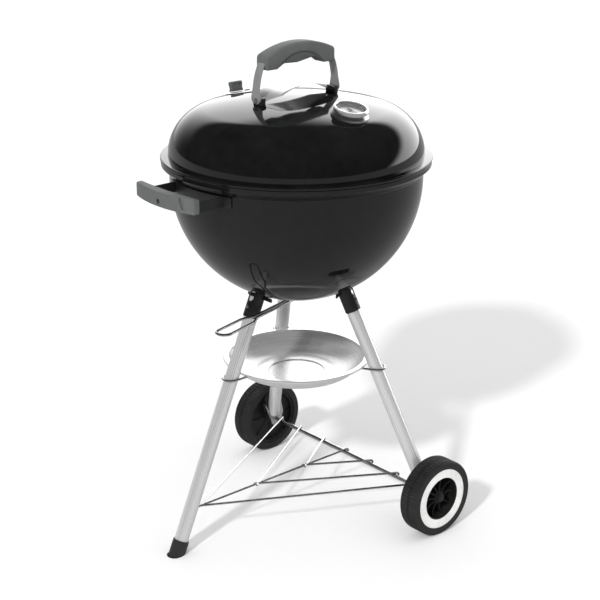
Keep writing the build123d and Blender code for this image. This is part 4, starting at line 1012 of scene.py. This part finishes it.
def buildKey(s):  # a far, fairly small lamp: it lights matt surfaces and casts the shadow, gloss does not see it
    light = bpy.data.lights.new("key", "SUN")
    light.energy, light.angle = s["strength"], math.radians(s["spread"])
    lamp = bpy.data.objects.new("key", light)
    bpy.context.scene.collection.objects.link(lamp)
    out = outFrom(s["turn"], s["rise"])
    lamp.matrix_world = lookAt(np.array([0, 0, 0.6]) + out * 5, np.array([0, 0, 0.6]))
    lamp.visible_glossy = False


def lookAt(eye, target):  # -z looks at the target and x stays level
    back = (eye - target) / np.linalg.norm(eye - target)
    right = np.cross((0, 0, 1.0), back)
    right = right / np.linalg.norm(right)
    up = np.cross(back, right)
    rows = np.eye(4)
    rows[:3, 0], rows[:3, 1], rows[:3, 2], rows[:3, 3] = right, up, back, eye
    return Matrix(rows.tolist())


def buildSky(s):
    # even light on matt surfaces; gloss sees a bright wall behind the grill, up to where height = rise x depth,
    # fading to the left, and a dim studio everywhere else
    world = bpy.data.worlds.new("studio")
    bpy.context.scene.world = world
    world.use_nodes = True
    tree = world.node_tree
    tree.nodes.clear()
    where = addNode(tree, "ShaderNodeTexCoord")
    back, side = outFrom(s["backTurn"], 0), outFrom(s["backTurn"] - 90, 0)

    def along(vector, low, high):
        dot = addNode(tree, "ShaderNodeVectorMath", {0: where.outputs["Generated"], 1: tuple(vector)},
                      operation="DOT_PRODUCT")
        return addNode(tree, "ShaderNodeMapRange", {"Value": dot.outputs["Value"], "From Min": low, "From Max": high},
                       interpolation_type="SMOOTHSTEP").outputs[0]

    wall = addMath(tree, "MULTIPLY", along(back * s["rise"] - np.array([0, 0, 1.0]), *s["edge"]),
                   along(side, *s["sides"]))
    gloss = addMath(tree, "MULTIPLY_ADD", wall, s["glossBack"], s["glossFront"])
    path = addNode(tree, "ShaderNodeLightPath")
    isGlossy, isCamera = path.outputs["Is Glossy Ray"], path.outputs["Is Camera Ray"]
    plain = addMath(tree, "MULTIPLY_ADD", isCamera, s["camera"] - s["sky"], s["sky"])
    plain = addMath(tree, "MULTIPLY", addMath(tree, "SUBTRACT", 1.0, isGlossy), plain)
    light = addNode(tree, "ShaderNodeBackground", {"Color": (1, 1, 1, 1), "Strength": addMath(
        tree, "MULTIPLY_ADD", isGlossy, gloss, plain)})
    result = addNode(tree, "ShaderNodeOutputWorld")
    tree.links.new(light.outputs[0], result.inputs["Surface"])


buildKey(lightSizes["key"])
buildSky(lightSizes)

cameraSizes = {"turn": 48.98, "distance": 2.492, "height": 1.313, "targetHeight": 0.4225, "shift": 0.0065,
               "lens": 86.1}


def buildCamera(s):
    turn = math.radians(s["turn"])
    right = np.array([math.cos(turn), math.sin(turn), 0]) * s["shift"]
    eye = np.array([s["distance"] * math.sin(turn), -s["distance"] * math.cos(turn), s["height"]]) + right
    target = np.array([0, 0, s["targetHeight"]]) + right
    data = bpy.data.cameras.new("camera")
    data.lens, data.sensor_width, data.clip_start, data.clip_end = s["lens"], 36.0, 0.05, 200.0
    camera = bpy.data.objects.new("camera", data)
    bpy.context.scene.collection.objects.link(camera)
    camera.matrix_world = lookAt(eye, target)
    bpy.context.scene.camera = camera


buildCamera(cameraSizes)
bpy.context.scene.view_settings.view_transform = "Standard"
print("studio")

bpy.context.view_layer.update()
